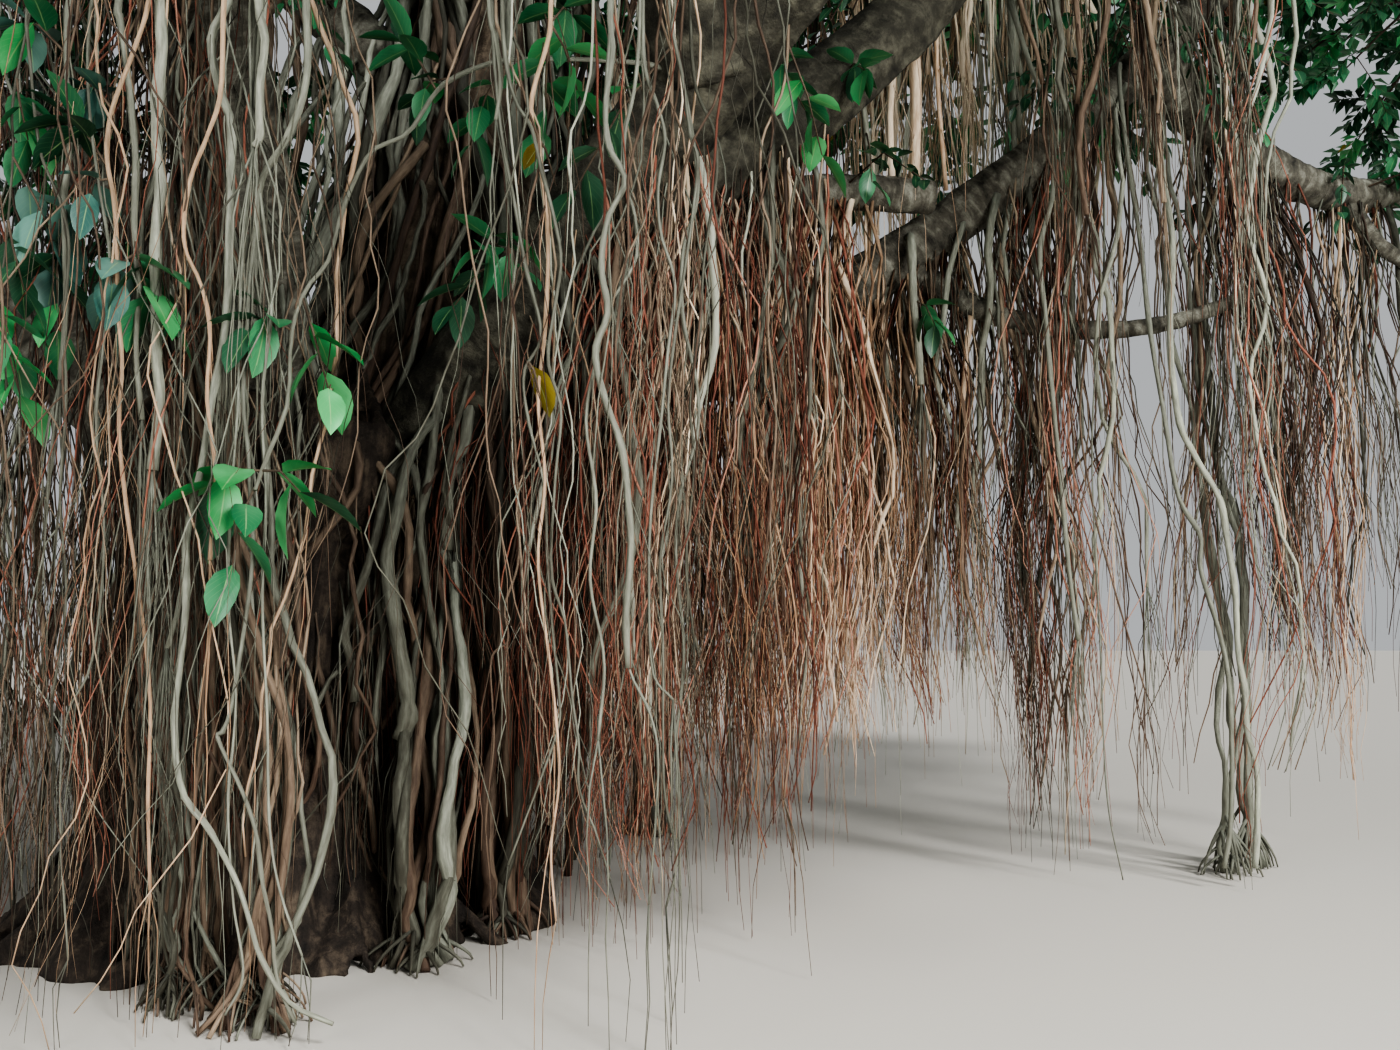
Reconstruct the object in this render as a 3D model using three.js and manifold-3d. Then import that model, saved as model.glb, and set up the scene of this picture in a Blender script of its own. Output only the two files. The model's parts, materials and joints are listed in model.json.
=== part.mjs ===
// A banyan tree: a fluted trunk of fused roots, spreading boughs, pillar roots that reach the ground,
// curtains of hanging aerial roots under the boughs, and a broad crown in several masses of foliage.
// Millimetres, +Z up, origin at the middle of the flat cut under the trunk, at ground level.
import * as THREE from "three";
import { mergeVertices } from "three/addons/utils/BufferGeometryUtils.js";
import Module from "manifold-3d";

const wasm = await Module();
wasm.setup();

const metre = 1000;
const clearance = 0.3; // left between two pieces that touch
const slack = 5; // slivers smaller than this are merged where pieces are fused

// The trunk: a column of fused roots that flares at the foot and swells again under the fork.
const trunk = {
  height: 2.95 * metre,
  footRadius: 1.3 * metre,
  waistRadius: 0.86 * metre,
  shoulderRadius: 0.98 * metre,
  crownRadius: 0.65 * metre,
  flareHeight: 0.45 * metre, // the flare falls to about a third over this height
  shoulderStart: 1.9 * metre,
  domeStart: 2.45 * metre,
  lean: [0.02, 0.015], // sideways travel for each unit of height
  broadRibs: 7,
  fineRibs: 12,
  ribDepth: 0.3, // share of the radius
  sides: 30,
  steps: 8,
};

// Boughs. Each leaves the trunk at a start point (metres) or another bough at a share of its length.
// Heading is measured from +X towards +Y and climb from level, both in degrees, from base to tip.
const boughs = {
  main_bough: {
    start: [-0.05, 0.05, 1.35], heading: [-14, -56],
    climb: [58, 19], length: 8.5, radius: [0.36, 0.13],
  },
  low_right_bough: {
    start: [0.2, 0.25, 2.35], heading: [27, -32],
    climb: [18, 46], length: 7.4, radius: [0.26, 0.11],
  },
  left_bough: {
    start: [-0.3, 0, 2.2], heading: [192, 184],
    climb: [46, 12], length: 8, radius: [0.33, 0.12],
  },
  back_left_bough: {
    start: [-0.2, 0.25, 2.3], heading: [132, 124],
    climb: [50, 12], length: 7.8, radius: [0.31, 0.12],
  },
  back_bough: {
    start: [0.05, 0.35, 2.4], heading: [92, 80],
    climb: [52, 12], length: 8, radius: [0.3, 0.12],
  },
  back_right_bough: {
    start: [0.3, 0.3, 2.6], heading: [60, 42],
    climb: [60, 14], length: 7.6, radius: [0.27, 0.11],
  },
  front_left_bough: {
    start: [-0.1, -0.3, 2.45], heading: [-78, -122],
    climb: [62, 14], length: 7.8, radius: [0.3, 0.12],
  },
  leader: {
    start: [0.2, 0.3, 2.1], heading: [25, 150],
    climb: [74, 80], length: 7.3, radius: [0.66, 0.14],
  },
  cross_bough: {
    start: [0.35, 0.35, 2.75], heading: [3, 5],
    climb: [55, -6], length: 4, radius: [0.16, 0.11],
  },
  right_bough: {
    parent: "main_bough", share: 0.364, heading: [14, 2],
    climb: [25, 80], length: 5.4, radius: [0.27, 0.11],
  },
  front_bough: {
    parent: "main_bough", share: 0.47, heading: [-112, -58],
    climb: [50, 14], length: 5.6, radius: [0.24, 0.12],
  },
  far_right_bough: {
    parent: "low_right_bough", share: 0.81, heading: [18, 22],
    climb: [-49, 63], length: 4, radius: [0.15, 0.09],
  },
  low_branch: {
    parent: "low_right_bough", share: 0.533, heading: [-8, -20],
    climb: [-44, 25], length: 2.4, radius: [0.09, 0.045],
  },
  left_front_bough: {
    parent: "left_bough", share: 0.34, heading: [228, 246],
    climb: [44, 16], length: 5.2, radius: [0.2, 0.11],
  },
  left_back_bough: {
    parent: "back_left_bough", share: 0.34, heading: [155, 184],
    climb: [46, 18], length: 5, radius: [0.2, 0.11],
  },
  crown_left_bough: {
    parent: "leader", share: 0.4, heading: [200, 194],
    climb: [36, 48], length: 4.8, radius: [0.2, 0.11],
  },
  crown_back_bough: {
    parent: "leader", share: 0.5, heading: [122, 108],
    climb: [36, 52], length: 4.4, radius: [0.19, 0.11],
  },
  crown_front_bough: {
    parent: "leader", share: 0.45, heading: [-94, -80],
    climb: [40, 52], length: 4.6, radius: [0.19, 0.11],
  },
  crown_right_bough: {
    parent: "leader", share: 0.56, heading: [12, 30],
    climb: [32, 48], length: 4.3, radius: [0.18, 0.1],
  },
};
const boughSteps = 6;
const boughSides = 6;

// The short dead spur that hangs from the far right bough.
const deadSpur = {
  parent: "far_right_bough",
  share: 0.46,
  heading: [-30, 20],
  climb: [-82, -8],
  length: 0.85,
  radius: [0.07, 0.035],
};

// Pillar roots: each stands on the ground at its foot (metres) and ends in a bough at a share of
// the bough's length.
const pillars = {
  main_pillar: { foot: [1.29, -0.52], bough: "main_bough", share: 0.27, radius: [0.075, 0.1] },
  trunk_pillar: { foot: [0.98, -1.02], bough: "main_bough", share: 0.2, radius: [0.07, 0.1] },
  front_pillar: { foot: [0.52, -1.86], bough: "front_left_bough", share: 0.32, radius: [0.06, 0.11] },
  inner_front_pillar: { foot: [0.16, -1.62], bough: "front_left_bough", share: 0.24, radius: [0.05, 0.09] },
  right_pillar: { foot: [5.69, 0.92], bough: "far_right_bough", share: 0.03, radius: [0.03, 0.05] },
  far_right_pillar: { foot: [5.95, 1.08], bough: "far_right_bough", share: 0.12, radius: [0.035, 0.055] },
  left_pillar: { foot: [-2.5, -0.5], bough: "left_bough", share: 0.36, radius: [0.09, 0.14] },
  back_left_pillar: { foot: [-1.75, 2.1], bough: "back_left_bough", share: 0.4, radius: [0.08, 0.13] },
  back_pillar: { foot: [0.1, 2.9], bough: "back_bough", share: 0.4, radius: [0.09, 0.14] },
  back_right_pillar: { foot: [1.9, 2.35], bough: "back_right_bough", share: 0.42, radius: [0.08, 0.12] },
};
const pillarSides = 5;
const pillarSteps = 4;
const pillarFlare = { gain: 0.8, height: 0.35 * metre };

// Curtains of hanging roots: the part of the bough that they hang from, and the heights (metres) of
// their tips.
const curtains = {
  front_left_curtain: { bough: "front_left_bough", span: [0.14, 0.42], tips: [0.05, 0.5], hanks: 9 },
  front_curtain: { bough: "front_bough", span: [0.16, 0.56], tips: [0.5, 0.95], hanks: 8 },
  main_curtain: { bough: "main_bough", span: [0.22, 0.46], tips: [0.3, 0.7], hanks: 9 },
  right_curtain: { bough: "right_bough", span: [0.16, 0.4], tips: [0.5, 0.9], hanks: 8 },
  cross_curtain: { bough: "cross_bough", span: [0.45, 0.93], tips: [0.7, 1.3], hanks: 8 },
  low_right_curtain: { bough: "low_right_bough", span: [0.46, 0.62], tips: [0.8, 1.2], hanks: 7 },
  outer_right_curtain: { bough: "low_right_bough", span: [0.64, 0.79], tips: [0.2, 0.6], hanks: 7 },
  far_right_curtain: { bough: "far_right_bough", span: [0.22, 0.75], tips: [1.3, 1.9], hanks: 7 },
  left_curtain: { bough: "left_bough", span: [0.16, 0.5], tips: [0.1, 0.6], hanks: 9 },
  back_left_curtain: { bough: "back_left_bough", span: [0.2, 0.55], tips: [0.2, 0.8], hanks: 8 },
  back_curtain: { bough: "back_bough", span: [0.2, 0.55], tips: [0.2, 0.9], hanks: 8 },
  back_right_curtain: { bough: "back_right_bough", span: [0.24, 0.56], tips: [0.3, 1], hanks: 8 },
};

// The mat of roots that clings under a bough.
const rootMat = { thickness: 45, drop: 40, sides: 6, steps: 2 };

// A hank: roots that hang side by side, widest a third of the way down.
const hank = {
  width: [110, 190],
  thickness: 34,
  topWidth: 0.5, // shares of the full width
  tipWidth: 0.16,
  spread: 0.45, // how far across the mat it may start, as a share of the bough's radius
  sway: 0.16 * metre, // how far it may wander sideways on its way down
  start: 12, // distance of its top below the bough
};

// Masses of foliage: how far past the bough's tip the middle of each lies, and its size (metres).
const masses = {
  far_right_foliage: { bough: "far_right_bough", reach: 0.9, size: 2.3 },
  low_right_foliage: { bough: "low_right_bough", reach: 1, size: 2.4 },
  right_foliage: { bough: "right_bough", reach: 1, size: 2.5 },
  main_foliage: { bough: "main_bough", reach: 1, size: 2.6 },
  front_foliage: { bough: "front_bough", reach: 1, size: 2.5 },
  front_left_foliage: { bough: "front_left_bough", reach: 1, size: 2.6 },
  left_front_foliage: { bough: "left_front_bough", reach: 1, size: 2.5 },
  left_foliage: { bough: "left_bough", reach: 1, size: 2.6 },
  left_back_foliage: { bough: "left_back_bough", reach: 1, size: 2.5 },
  back_left_foliage: { bough: "back_left_bough", reach: 1, size: 2.6 },
  back_foliage: { bough: "back_bough", reach: 1, size: 2.7 },
  back_right_foliage: { bough: "back_right_bough", reach: 1, size: 2.7 },
  crown_left_foliage: { bough: "crown_left_bough", reach: 0.9, size: 3.1 },
  crown_back_foliage: { bough: "crown_back_bough", reach: 0.9, size: 3.1 },
  crown_front_foliage: { bough: "crown_front_bough", reach: 0.9, size: 3.1 },
  crown_right_foliage: { bough: "crown_right_bough", reach: 0.9, size: 2.9 },
  top_foliage: { bough: "leader", reach: 0.9, size: 3 },
};
const foliage = {
  lift: 0.3, // share of the size by which a mass's middle is raised
  flatness: 0.7, // height over width of a mass
  core: 0.7, // radius of the dense middle, as a share of the size
  coreLumps: 0.18,
  sprays: 18, // every third spray stands on a twig, the others on the middle itself
  lowest: -0.7, // level of the lowest spray, from -1 at the bottom to 1 at the top
  stemEndRadius: 60,
  twigRadius: 45,
  twigReach: 0.86,
  bladeLength: 0.46, // a blade stands for a spray of leaves
  bladeWidth: 0.4,
  bladeThickness: 0.05, // share of its own length
  bladeWaist: 0.2, // how far its widest place is moved towards its foot
  bladeSunk: 0.22, // share of its length that is sunk at its foot
  turn: 0.9, // how far a blade leans from the straight way out
  droop: 0.25,
  shortest: 0.5, // a spray cut shorter than this share is left out
  gap: 15, // kept clear of the next mass
};

// One seeded stream of numbers from 0 to 1.
function randomStream(seed) {
  let state = Math.imul(seed, 2654435761) >>> 0;
  return () => {
    state = (Math.imul(state, 1664525) + 1013904223) >>> 0;
    return state / 4294967296;
  };
}

function mix(a, b, share) {
  return a + (b - a) * share;
}

function vector([x, y, z]) {
  return new THREE.Vector3(x, y, z).multiplyScalar(metre);
}

function solidFrom(geometry) {
  const bare = geometry.clone();
  bare.deleteAttribute("normal");
  bare.deleteAttribute("uv");
  const merged = mergeVertices(bare, 1e-2);
  return new wasm.Manifold(
    new wasm.Mesh({
      numProp: 3,
      vertProperties: new Float32Array(merged.attributes.position.array),
      triVerts: new Uint32Array(merged.index.array),
    }),
  );
}

function geometryFrom(solid) {
  const mesh = solid.getMesh();
  const geometry = new THREE.BufferGeometry();
  geometry.setAttribute("position", new THREE.BufferAttribute(mesh.vertProperties, 3));
  geometry.setIndex(new THREE.BufferAttribute(mesh.triVerts, 1));
  geometry.computeVertexNormals();
  return geometry;
}

// The largest body of a solid: scraps are dropped and sealed hollows are filled.
function mainBody(solid) {
  const bodies = solid.decompose();
  return bodies.reduce((best, body) => (body.volume() > best.volume() ? body : best));
}

function touches(solid, other) {
  return solid.intersect(other).volume() > 0;
}

// A tapering tube round a curve: a closed cylinder whose rings are moved onto the curve.
function tube(curve, radiusAt, sides, steps, grow = 0) {
  const geometry = new THREE.CylinderGeometry(1, 1, 1, sides, steps);
  const frames = curve.computeFrenetFrames(steps, false);
  const position = geometry.attributes.position;
  for (let i = 0; i < position.count; i++) {
    const ring = Math.round((position.getY(i) + 0.5) * steps);
    const share = ring / steps;
    const radius = radiusAt(share) + grow;
    const point = curve.getPointAt(share);
    point.addScaledVector(frames.binormals[ring], position.getX(i) * radius);
    point.addScaledVector(frames.normals[ring], position.getZ(i) * radius);
    if (ring === 0) point.addScaledVector(frames.tangents[ring], -grow);
    if (ring === steps) point.addScaledVector(frames.tangents[ring], grow);
    position.setXYZ(i, point.x, point.y, point.z);
  }
  return solidFrom(geometry);
}

function smoothCurve(points) {
  return new THREE.CatmullRomCurve3(points, false, "catmullrom", 0.5);
}

// The trunk's radius where its ribs are left out.
function trunkProfile(height) {
  const flare = (trunk.footRadius - trunk.waistRadius) * Math.exp(-height / trunk.flareHeight);
  const swell = THREE.MathUtils.smoothstep(height, trunk.shoulderStart, trunk.domeStart);
  const dome = THREE.MathUtils.smoothstep(height, trunk.domeStart, trunk.height);
  const column = mix(trunk.waistRadius, trunk.shoulderRadius, swell) + flare;
  return mix(column, trunk.crownRadius, dome * dome);
}

// Rounded ribs with sharp creases between them, as fused roots have.
function trunkRibs(angle, height) {
  const twist = (0.3 * height) / metre;
  const broad = Math.abs(Math.cos((trunk.broadRibs * angle) / 2 + 0.4 + twist));
  const fine = Math.abs(Math.cos((trunk.fineRibs * angle) / 2 + 1.3 - twist));
  return 0.65 * (broad - 0.6) + 0.35 * (fine - 0.6);
}

function makeTrunk(grow = 0) {
  const geometry = new THREE.CylinderGeometry(1, 1, 1, trunk.sides, trunk.steps);
  const position = geometry.attributes.position;
  for (let i = 0; i < position.count; i++) {
    const share = position.getY(i) + 0.5;
    const height = trunk.height * share ** 1.4; // rings are closer at the flare
    const angle = Math.atan2(position.getX(i), position.getZ(i));
    const onAxis = Math.hypot(position.getX(i), position.getZ(i)) < 0.5;
    const depth = trunk.ribDepth * (1 + Math.exp(-height / trunk.flareHeight));
    const ribs = 1 + depth * trunkRibs(angle, height);
    const radius = onAxis ? 0 : trunkProfile(height) * ribs + grow;
    const top = share > 0.999 ? grow : 0;
    position.setXYZ(
      i,
      trunk.lean[0] * height + radius * Math.cos(angle),
      trunk.lean[1] * height + radius * Math.sin(angle),
      height + top,
    );
  }
  return solidFrom(geometry);
}

// A bough's centre line, stepped out from its base with its heading and climb turning evenly.
function boughCurve(bough) {
  const position = bough.parent ? boughCurves[bough.parent].getPoint(bough.share) : vector(bough.start);
  const points = [position.clone()];
  for (let i = 0; i < boughSteps; i++) {
    const share = (i + 0.5) / boughSteps;
    const heading = THREE.MathUtils.degToRad(mix(...bough.heading, share));
    const climb = THREE.MathUtils.degToRad(mix(...bough.climb, share));
    const step = (bough.length * metre) / boughSteps;
    position.x += step * Math.cos(climb) * Math.cos(heading);
    position.y += step * Math.cos(climb) * Math.sin(heading);
    position.z += step * Math.sin(climb);
    points.push(position.clone());
  }
  return smoothCurve(points);
}

function boughRadius(bough, share) {
  return mix(...bough.radius, share) * metre;
}

function makeBough(name, grow = 0) {
  const bough = name === "dead_spur" ? deadSpur : boughs[name];
  return tube(boughCurves[name], (share) => boughRadius(bough, share), boughSides, boughSteps, grow);
}

function pillarCurve(pillar) {
  const foot = vector([...pillar.foot, 0]);
  const top = boughCurves[pillar.bough].getPoint(pillar.share);
  const rise = top.z / 4;
  const points = [foot];
  points.push(foot.clone().setZ(rise));
  points.push(foot.clone().lerp(top, 0.45).setZ(rise * 2));
  points.push(foot.clone().lerp(top, 0.85).setZ(rise * 3));
  points.push(top);
  return smoothCurve(points);
}

function makePillar(pillar, grow = 0) {
  const curve = pillarCurve(pillar);
  const length = curve.getLength();
  const radiusAt = (share) => {
    const flare = 1 + pillarFlare.gain * Math.exp((-share * length) / pillarFlare.height);
    return mix(pillar.radius[1], pillar.radius[0], share) * metre * flare;
  };
  return tube(curve, radiusAt, pillarSides, pillarSteps, grow);
}

// The mat of roots that clings under a bough, from which the hanks of a curtain hang.
function makeRootMat(curtain) {
  const curve = boughCurves[curtain.bough];
  const points = [];
  for (let i = 0; i <= rootMat.steps; i++) {
    const point = curve.getPoint(mix(...curtain.span, i / rootMat.steps));
    points.push(point.setZ(point.z - rootMat.drop));
  }
  const radiusAt = (share) => {
    return boughRadius(boughs[curtain.bough], mix(...curtain.span, share)) + rootMat.thickness;
  };
  return tube(smoothCurve(points), radiusAt, rootMat.sides, rootMat.steps);
}

// One hank, from the mat under the bough down to its tip: three-sided, wide along the bough and thin
// across it.
function makeHank(curtain, share, random) {
  const place = mix(...curtain.span, share);
  const radius = boughRadius(boughs[curtain.bough], place);
  const top = boughCurves[curtain.bough].getPoint(place);
  const along = boughCurves[curtain.bough].getTangent(place).setZ(0).normalize();
  const across = along.clone().cross(new THREE.Vector3(0, 0, -1));
  const offset = (random() * 2 - 1) * hank.spread * radius;
  top.addScaledVector(across, offset);
  top.z -= Math.sqrt(radius ** 2 - offset ** 2) + hank.start;
  const tip = top.clone().setZ(mix(...curtain.tips, random()) * metre);
  tip.x += (random() * 2 - 1) * hank.sway;
  tip.y += (random() * 2 - 1) * hank.sway;
  const middle = top.clone().lerp(tip, 0.35);
  const width = mix(...hank.width, random());
  const rings = [
    { point: top, width: width * hank.topWidth },
    { point: middle, width },
    { point: tip, width: width * hank.tipWidth },
  ];
  const geometry = new THREE.CylinderGeometry(1, 1, 1, 3, 2);
  const position = geometry.attributes.position;
  for (let i = 0; i < position.count; i++) {
    const ring = rings[Math.round((position.getY(i) + 0.5) * 2)];
    const point = ring.point.clone();
    point.addScaledVector(along, (position.getX(i) * ring.width) / 2);
    point.addScaledVector(across, (position.getZ(i) * hank.thickness) / 2);
    position.setXYZ(i, point.x, point.y, point.z);
  }
  return solidFrom(geometry);
}

// A curtain keeps clear of every limb and of the curtains made before it.
function makeCurtain(curtain, seed, limbs, others) {
  const random = randomStream(seed);
  const pieces = [makeRootMat(curtain)];
  for (let i = 0; i < curtain.hanks; i++) {
    const piece = makeHank(curtain, (i + 0.5) / curtain.hanks, random);
    if (!touches(piece, others)) pieces.push(piece);
  }
  return mainBody(wasm.Manifold.union(pieces).simplify(slack).subtract(limbs).subtract(others));
}

// The middle of a mass: past its bough's tip along the bough, and raised.
function massCentre(mass) {
  const curve = boughCurves[mass.bough];
  const centre = curve.getPoint(1).addScaledVector(curve.getTangent(1), mass.reach * metre);
  return centre.setZ(centre.z + foliage.lift * mass.size * metre);
}

// How far a mass may reach from its middle in a direction before it comes to another mass's space.
function roomAlong(name, direction) {
  const own = massCentres[name];
  let room = Infinity;
  for (const [otherName, other] of Object.entries(massCentres)) {
    if (otherName === name) continue;
    const away = other.clone().sub(own);
    const closing = away.normalize().dot(direction);
    if (closing > 0) room = Math.min(room, (own.distanceTo(other) / 2 - foliage.gap) / closing);
  }
  return room;
}

function staysInSpace(solid, name) {
  const mesh = solid.getMesh();
  const point = new THREE.Vector3();
  for (let i = 0; i < mesh.vertProperties.length; i += 3) {
    point.fromArray(mesh.vertProperties, i).sub(massCentres[name]);
    const distance = point.length();
    if (distance > roomAlong(name, point.divideScalar(distance))) return false;
  }
  return true;
}

// The dense middle of a mass, kept inside the mass's own space.
function makeCore(name, mass, random) {
  const ball = new THREE.IcosahedronGeometry(1, 1);
  const geometry = mergeVertices(ball.deleteAttribute("normal").deleteAttribute("uv"));
  const position = geometry.attributes.position;
  for (let i = 0; i < position.count; i++) {
    const direction = new THREE.Vector3().fromBufferAttribute(position, i).normalize();
    const lump = 1 + foliage.coreLumps * (random() * 2 - 1);
    direction.z *= foliage.flatness;
    const reach = foliage.core * mass.size * metre * lump * direction.length();
    direction.normalize();
    const kept = Math.min(reach, roomAlong(name, direction));
    const point = direction.multiplyScalar(kept).add(massCentres[name]);
    position.setXYZ(i, point.x, point.y, point.z);
  }
  return solidFrom(geometry);
}

// The stem of a mass: it meets the bough's tip face to face and runs into the middle.
function makeStem(name, mass) {
  const curve = boughCurves[mass.bough];
  const tangent = curve.getTangent(1);
  const foot = curve.getPoint(1).addScaledVector(tangent, clearance);
  const shoulder = foot.clone().addScaledVector(tangent, 0.3 * metre);
  const footRadius = boughRadius(boughs[mass.bough], 1) * 0.9;
  const radiusAt = (share) => mix(footRadius, foliage.stemEndRadius, share);
  return tube(smoothCurve([foot, shoulder, massCentres[name]]), radiusAt, 4, 2);
}

// A blade of eight faces that stands for a spray of leaves, with its foot sunk at a point.
function makeBlade(foot, axis, side, length) {
  const normal = axis.clone().cross(side).normalize();
  const across = normal.clone().cross(axis).normalize();
  const geometry = new THREE.OctahedronGeometry(1, 0);
  const position = geometry.attributes.position;
  for (let i = 0; i < position.count; i++) {
    const [x, y, z] = [position.getX(i), position.getY(i), position.getZ(i)];
    const along = x - foliage.bladeWaist * Math.abs(y);
    const point = foot
      .clone()
      .addScaledVector(axis, length * ((along + 1) / 2 - foliage.bladeSunk))
      .addScaledVector(across, (y * length * foliage.bladeWidth) / foliage.bladeLength / 2)
      .addScaledVector(normal, (z * length * foliage.bladeThickness) / 2);
    position.setXYZ(i, point.x, point.y, point.z);
  }
  return solidFrom(geometry);
}

// The pieces of one spray: a blade on the middle itself, or on a twig that grows out of it.
function makeSpray(name, mass, index, random) {
  const size = mass.size * metre;
  const level = mix(1, foliage.lowest, (index + 0.5) / foliage.sprays);
  const turn = Math.PI * (3 - Math.sqrt(5)) * index + random() * 0.5;
  const flat = Math.sqrt(1 - level ** 2);
  const outward = new THREE.Vector3(flat * Math.cos(turn), flat * Math.sin(turn), level * foliage.flatness);
  const squash = outward.length();
  outward.normalize();
  const onTwig = index % 3 === 0;
  const wanted = (onTwig ? foliage.twigReach * mix(0.9, 1.1, random()) : foliage.core) * squash * size;
  const length = foliage.bladeLength * size * mix(0.85, 1.15, random());
  const fit = Math.min(1, roomAlong(name, outward) / (wanted + length * 0.8));
  const side = new THREE.Vector3(-Math.sin(turn), Math.cos(turn), mix(-0.4, 0.4, random())).normalize();
  const axis = outward.clone().addScaledVector(side, foliage.turn * mix(-1, 1, random()));
  axis.z -= foliage.droop * (1 + level);
  if (fit < foliage.shortest) return [];
  const foot = massCentres[name].clone().addScaledVector(outward, wanted * fit);
  const pieces = [makeBlade(foot, axis.normalize(), side, length * fit)];
  if (onTwig) {
    const base = massCentres[name].clone().addScaledVector(outward, wanted * fit * 0.5);
    const stick = new THREE.LineCurve3(base, foot);
    pieces.push(tube(stick, (share) => foliage.twigRadius * mix(1, 0.4, share), 3, 1));
  }
  return pieces;
}

// A mass keeps to its own space and clear of the limbs and curtains.
function makeMass(name, mass, seed, limbs, others) {
  const random = randomStream(seed);
  const pieces = [makeStem(name, mass), makeCore(name, mass, random)];
  for (let i = 0; i < foliage.sprays; i++) {
    const spray = makeSpray(name, mass, i, random);
    if (spray.every((piece) => staysInSpace(piece, name) && !touches(piece, others))) pieces.push(...spray);
  }
  return mainBody(wasm.Manifold.union(pieces).simplify(slack).subtract(limbs));
}

function material(colour, roughness) {
  return new THREE.MeshStandardMaterial({ color: colour, roughness, metalness: 0, flatShading: true });
}

const bark = material("#6d6458", 0.9);
const pillarBark = material("#8a7d6b", 0.85);
const hangingRoot = material("#7d5f4b", 0.9);
const leafGreen = material("#3f7a35", 0.55);

const tree = new THREE.Group();

function addNode(name, solid, finish) {
  const mesh = new THREE.Mesh(geometryFrom(solid), finish);
  mesh.name = name;
  tree.add(mesh);
}

const boughCurves = {};
for (const [name, bough] of Object.entries(boughs)) boughCurves[name] = boughCurve(bough);
boughCurves.dead_spur = boughCurve(deadSpur);
const massCentres = {};
for (const [name, mass] of Object.entries(masses)) massCentres[name] = massCentre(mass);

// Limbs are made in order, each one cut clear of those before it.
let limbs = makeTrunk(clearance);
addNode("trunk", makeTrunk(), bark);
function addLimb(name, make, finish) {
  addNode(name, mainBody(make(0).subtract(limbs)), finish);
  limbs = limbs.add(make(clearance));
}
for (const name of Object.keys(boughs)) addLimb(name, (grow) => makeBough(name, grow), bark);
addLimb("dead_spur", (grow) => makeBough("dead_spur", grow), bark);
for (const [name, pillar] of Object.entries(pillars)) {
  addLimb(name, (grow) => makePillar(pillar, grow), pillarBark);
}

let hanging = wasm.Manifold.union([]);
Object.entries(curtains).forEach(([name, curtain], index) => {
  const solid = makeCurtain(curtain, index + 1, limbs, hanging);
  addNode(name, solid, hangingRoot);
  hanging = hanging.add(solid);
});

const obstacles = limbs.add(hanging);
Object.entries(masses).forEach(([name, mass], index) => {
  addNode(name, makeMass(name, mass, index + 101, limbs, obstacles), leafGreen);
});

export default tree;
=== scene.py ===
import json
import math

import bpy
import numpy as np
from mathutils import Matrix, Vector

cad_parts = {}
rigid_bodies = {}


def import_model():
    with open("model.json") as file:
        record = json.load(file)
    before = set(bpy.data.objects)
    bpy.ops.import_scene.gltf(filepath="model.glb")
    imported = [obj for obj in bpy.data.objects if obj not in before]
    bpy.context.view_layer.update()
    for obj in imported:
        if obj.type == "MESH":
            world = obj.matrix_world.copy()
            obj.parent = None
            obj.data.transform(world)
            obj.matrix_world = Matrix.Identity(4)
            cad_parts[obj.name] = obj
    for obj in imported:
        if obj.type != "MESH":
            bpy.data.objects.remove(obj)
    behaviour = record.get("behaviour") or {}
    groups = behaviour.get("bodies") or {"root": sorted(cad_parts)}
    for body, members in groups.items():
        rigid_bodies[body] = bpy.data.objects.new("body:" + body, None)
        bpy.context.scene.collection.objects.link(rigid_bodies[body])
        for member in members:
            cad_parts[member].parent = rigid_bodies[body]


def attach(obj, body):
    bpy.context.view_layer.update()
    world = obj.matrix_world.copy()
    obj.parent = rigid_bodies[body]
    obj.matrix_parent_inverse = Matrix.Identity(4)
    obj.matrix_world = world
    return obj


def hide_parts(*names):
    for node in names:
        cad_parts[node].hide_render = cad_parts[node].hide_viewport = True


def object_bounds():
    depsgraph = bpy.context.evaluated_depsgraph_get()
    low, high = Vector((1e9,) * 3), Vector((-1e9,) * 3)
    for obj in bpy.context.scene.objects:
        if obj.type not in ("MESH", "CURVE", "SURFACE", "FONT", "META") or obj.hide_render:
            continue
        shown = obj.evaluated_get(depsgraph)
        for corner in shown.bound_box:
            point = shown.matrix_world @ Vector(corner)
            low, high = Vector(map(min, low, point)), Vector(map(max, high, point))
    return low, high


# A banyan seen from under its crown: trunk of fused roots, boughs, pillar roots, hanging roots, leaves
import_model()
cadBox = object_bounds()
bpy.ops.object.select_all(action="DESELECT")
print("frame loaded")


# camera and stage

photoView = {
    "place": (2.3, -6.5, 1.55),  # standing height
    "pitch": 5.3,  # degrees above level
    "focal": 1133,  # in pixels of the photograph
    "width": 1400,
    "height": 1050,
    "sensor": 36,  # mm
    "farthest": 300,
}

stageLook = {
    "floorSize": 160,
    "floorColor": "#c4c0b8",
    "floorRoughness": 0.9,
    "skyColor": "#eef1f4",
    "skyStrength": 0.46,
    "sunAngle": 9,  # degrees, for soft shadows
    "sunPower": 2.4,
    "sunTurn": (50, 0, 38),
    "look": "AgX - High Contrast",
    "softboxes": [
        # place, aim, size in metres, watts
        ((7.5, -9.5, 4.4), (2.6, 0.0, 2.4), 4.0, 900),
        ((-3.5, -8.0, 4.5), (0.0, -1.0, 2.4), 3.0, 260),
    ],
}


def linearColor(hexColor):  # sRGB hex to the linear colour that nodes take
    channels = [int(hexColor[i:i + 2], 16) / 255 for i in (1, 3, 5)]
    return [c / 12.92 if c <= 0.04045 else ((c + 0.055) / 1.055) ** 2.4 for c in channels] + [1.0]


def addNode(tree, kind, inputs=None, **settings):
    node = tree.nodes.new("ShaderNode" + kind)
    for name, value in settings.items():
        setattr(node, name, value)
    for name, value in (inputs or {}).items():
        if isinstance(value, bpy.types.NodeSocket):
            tree.links.new(value, node.inputs[name])
        else:
            node.inputs[name].default_value = value
    return node


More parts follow.
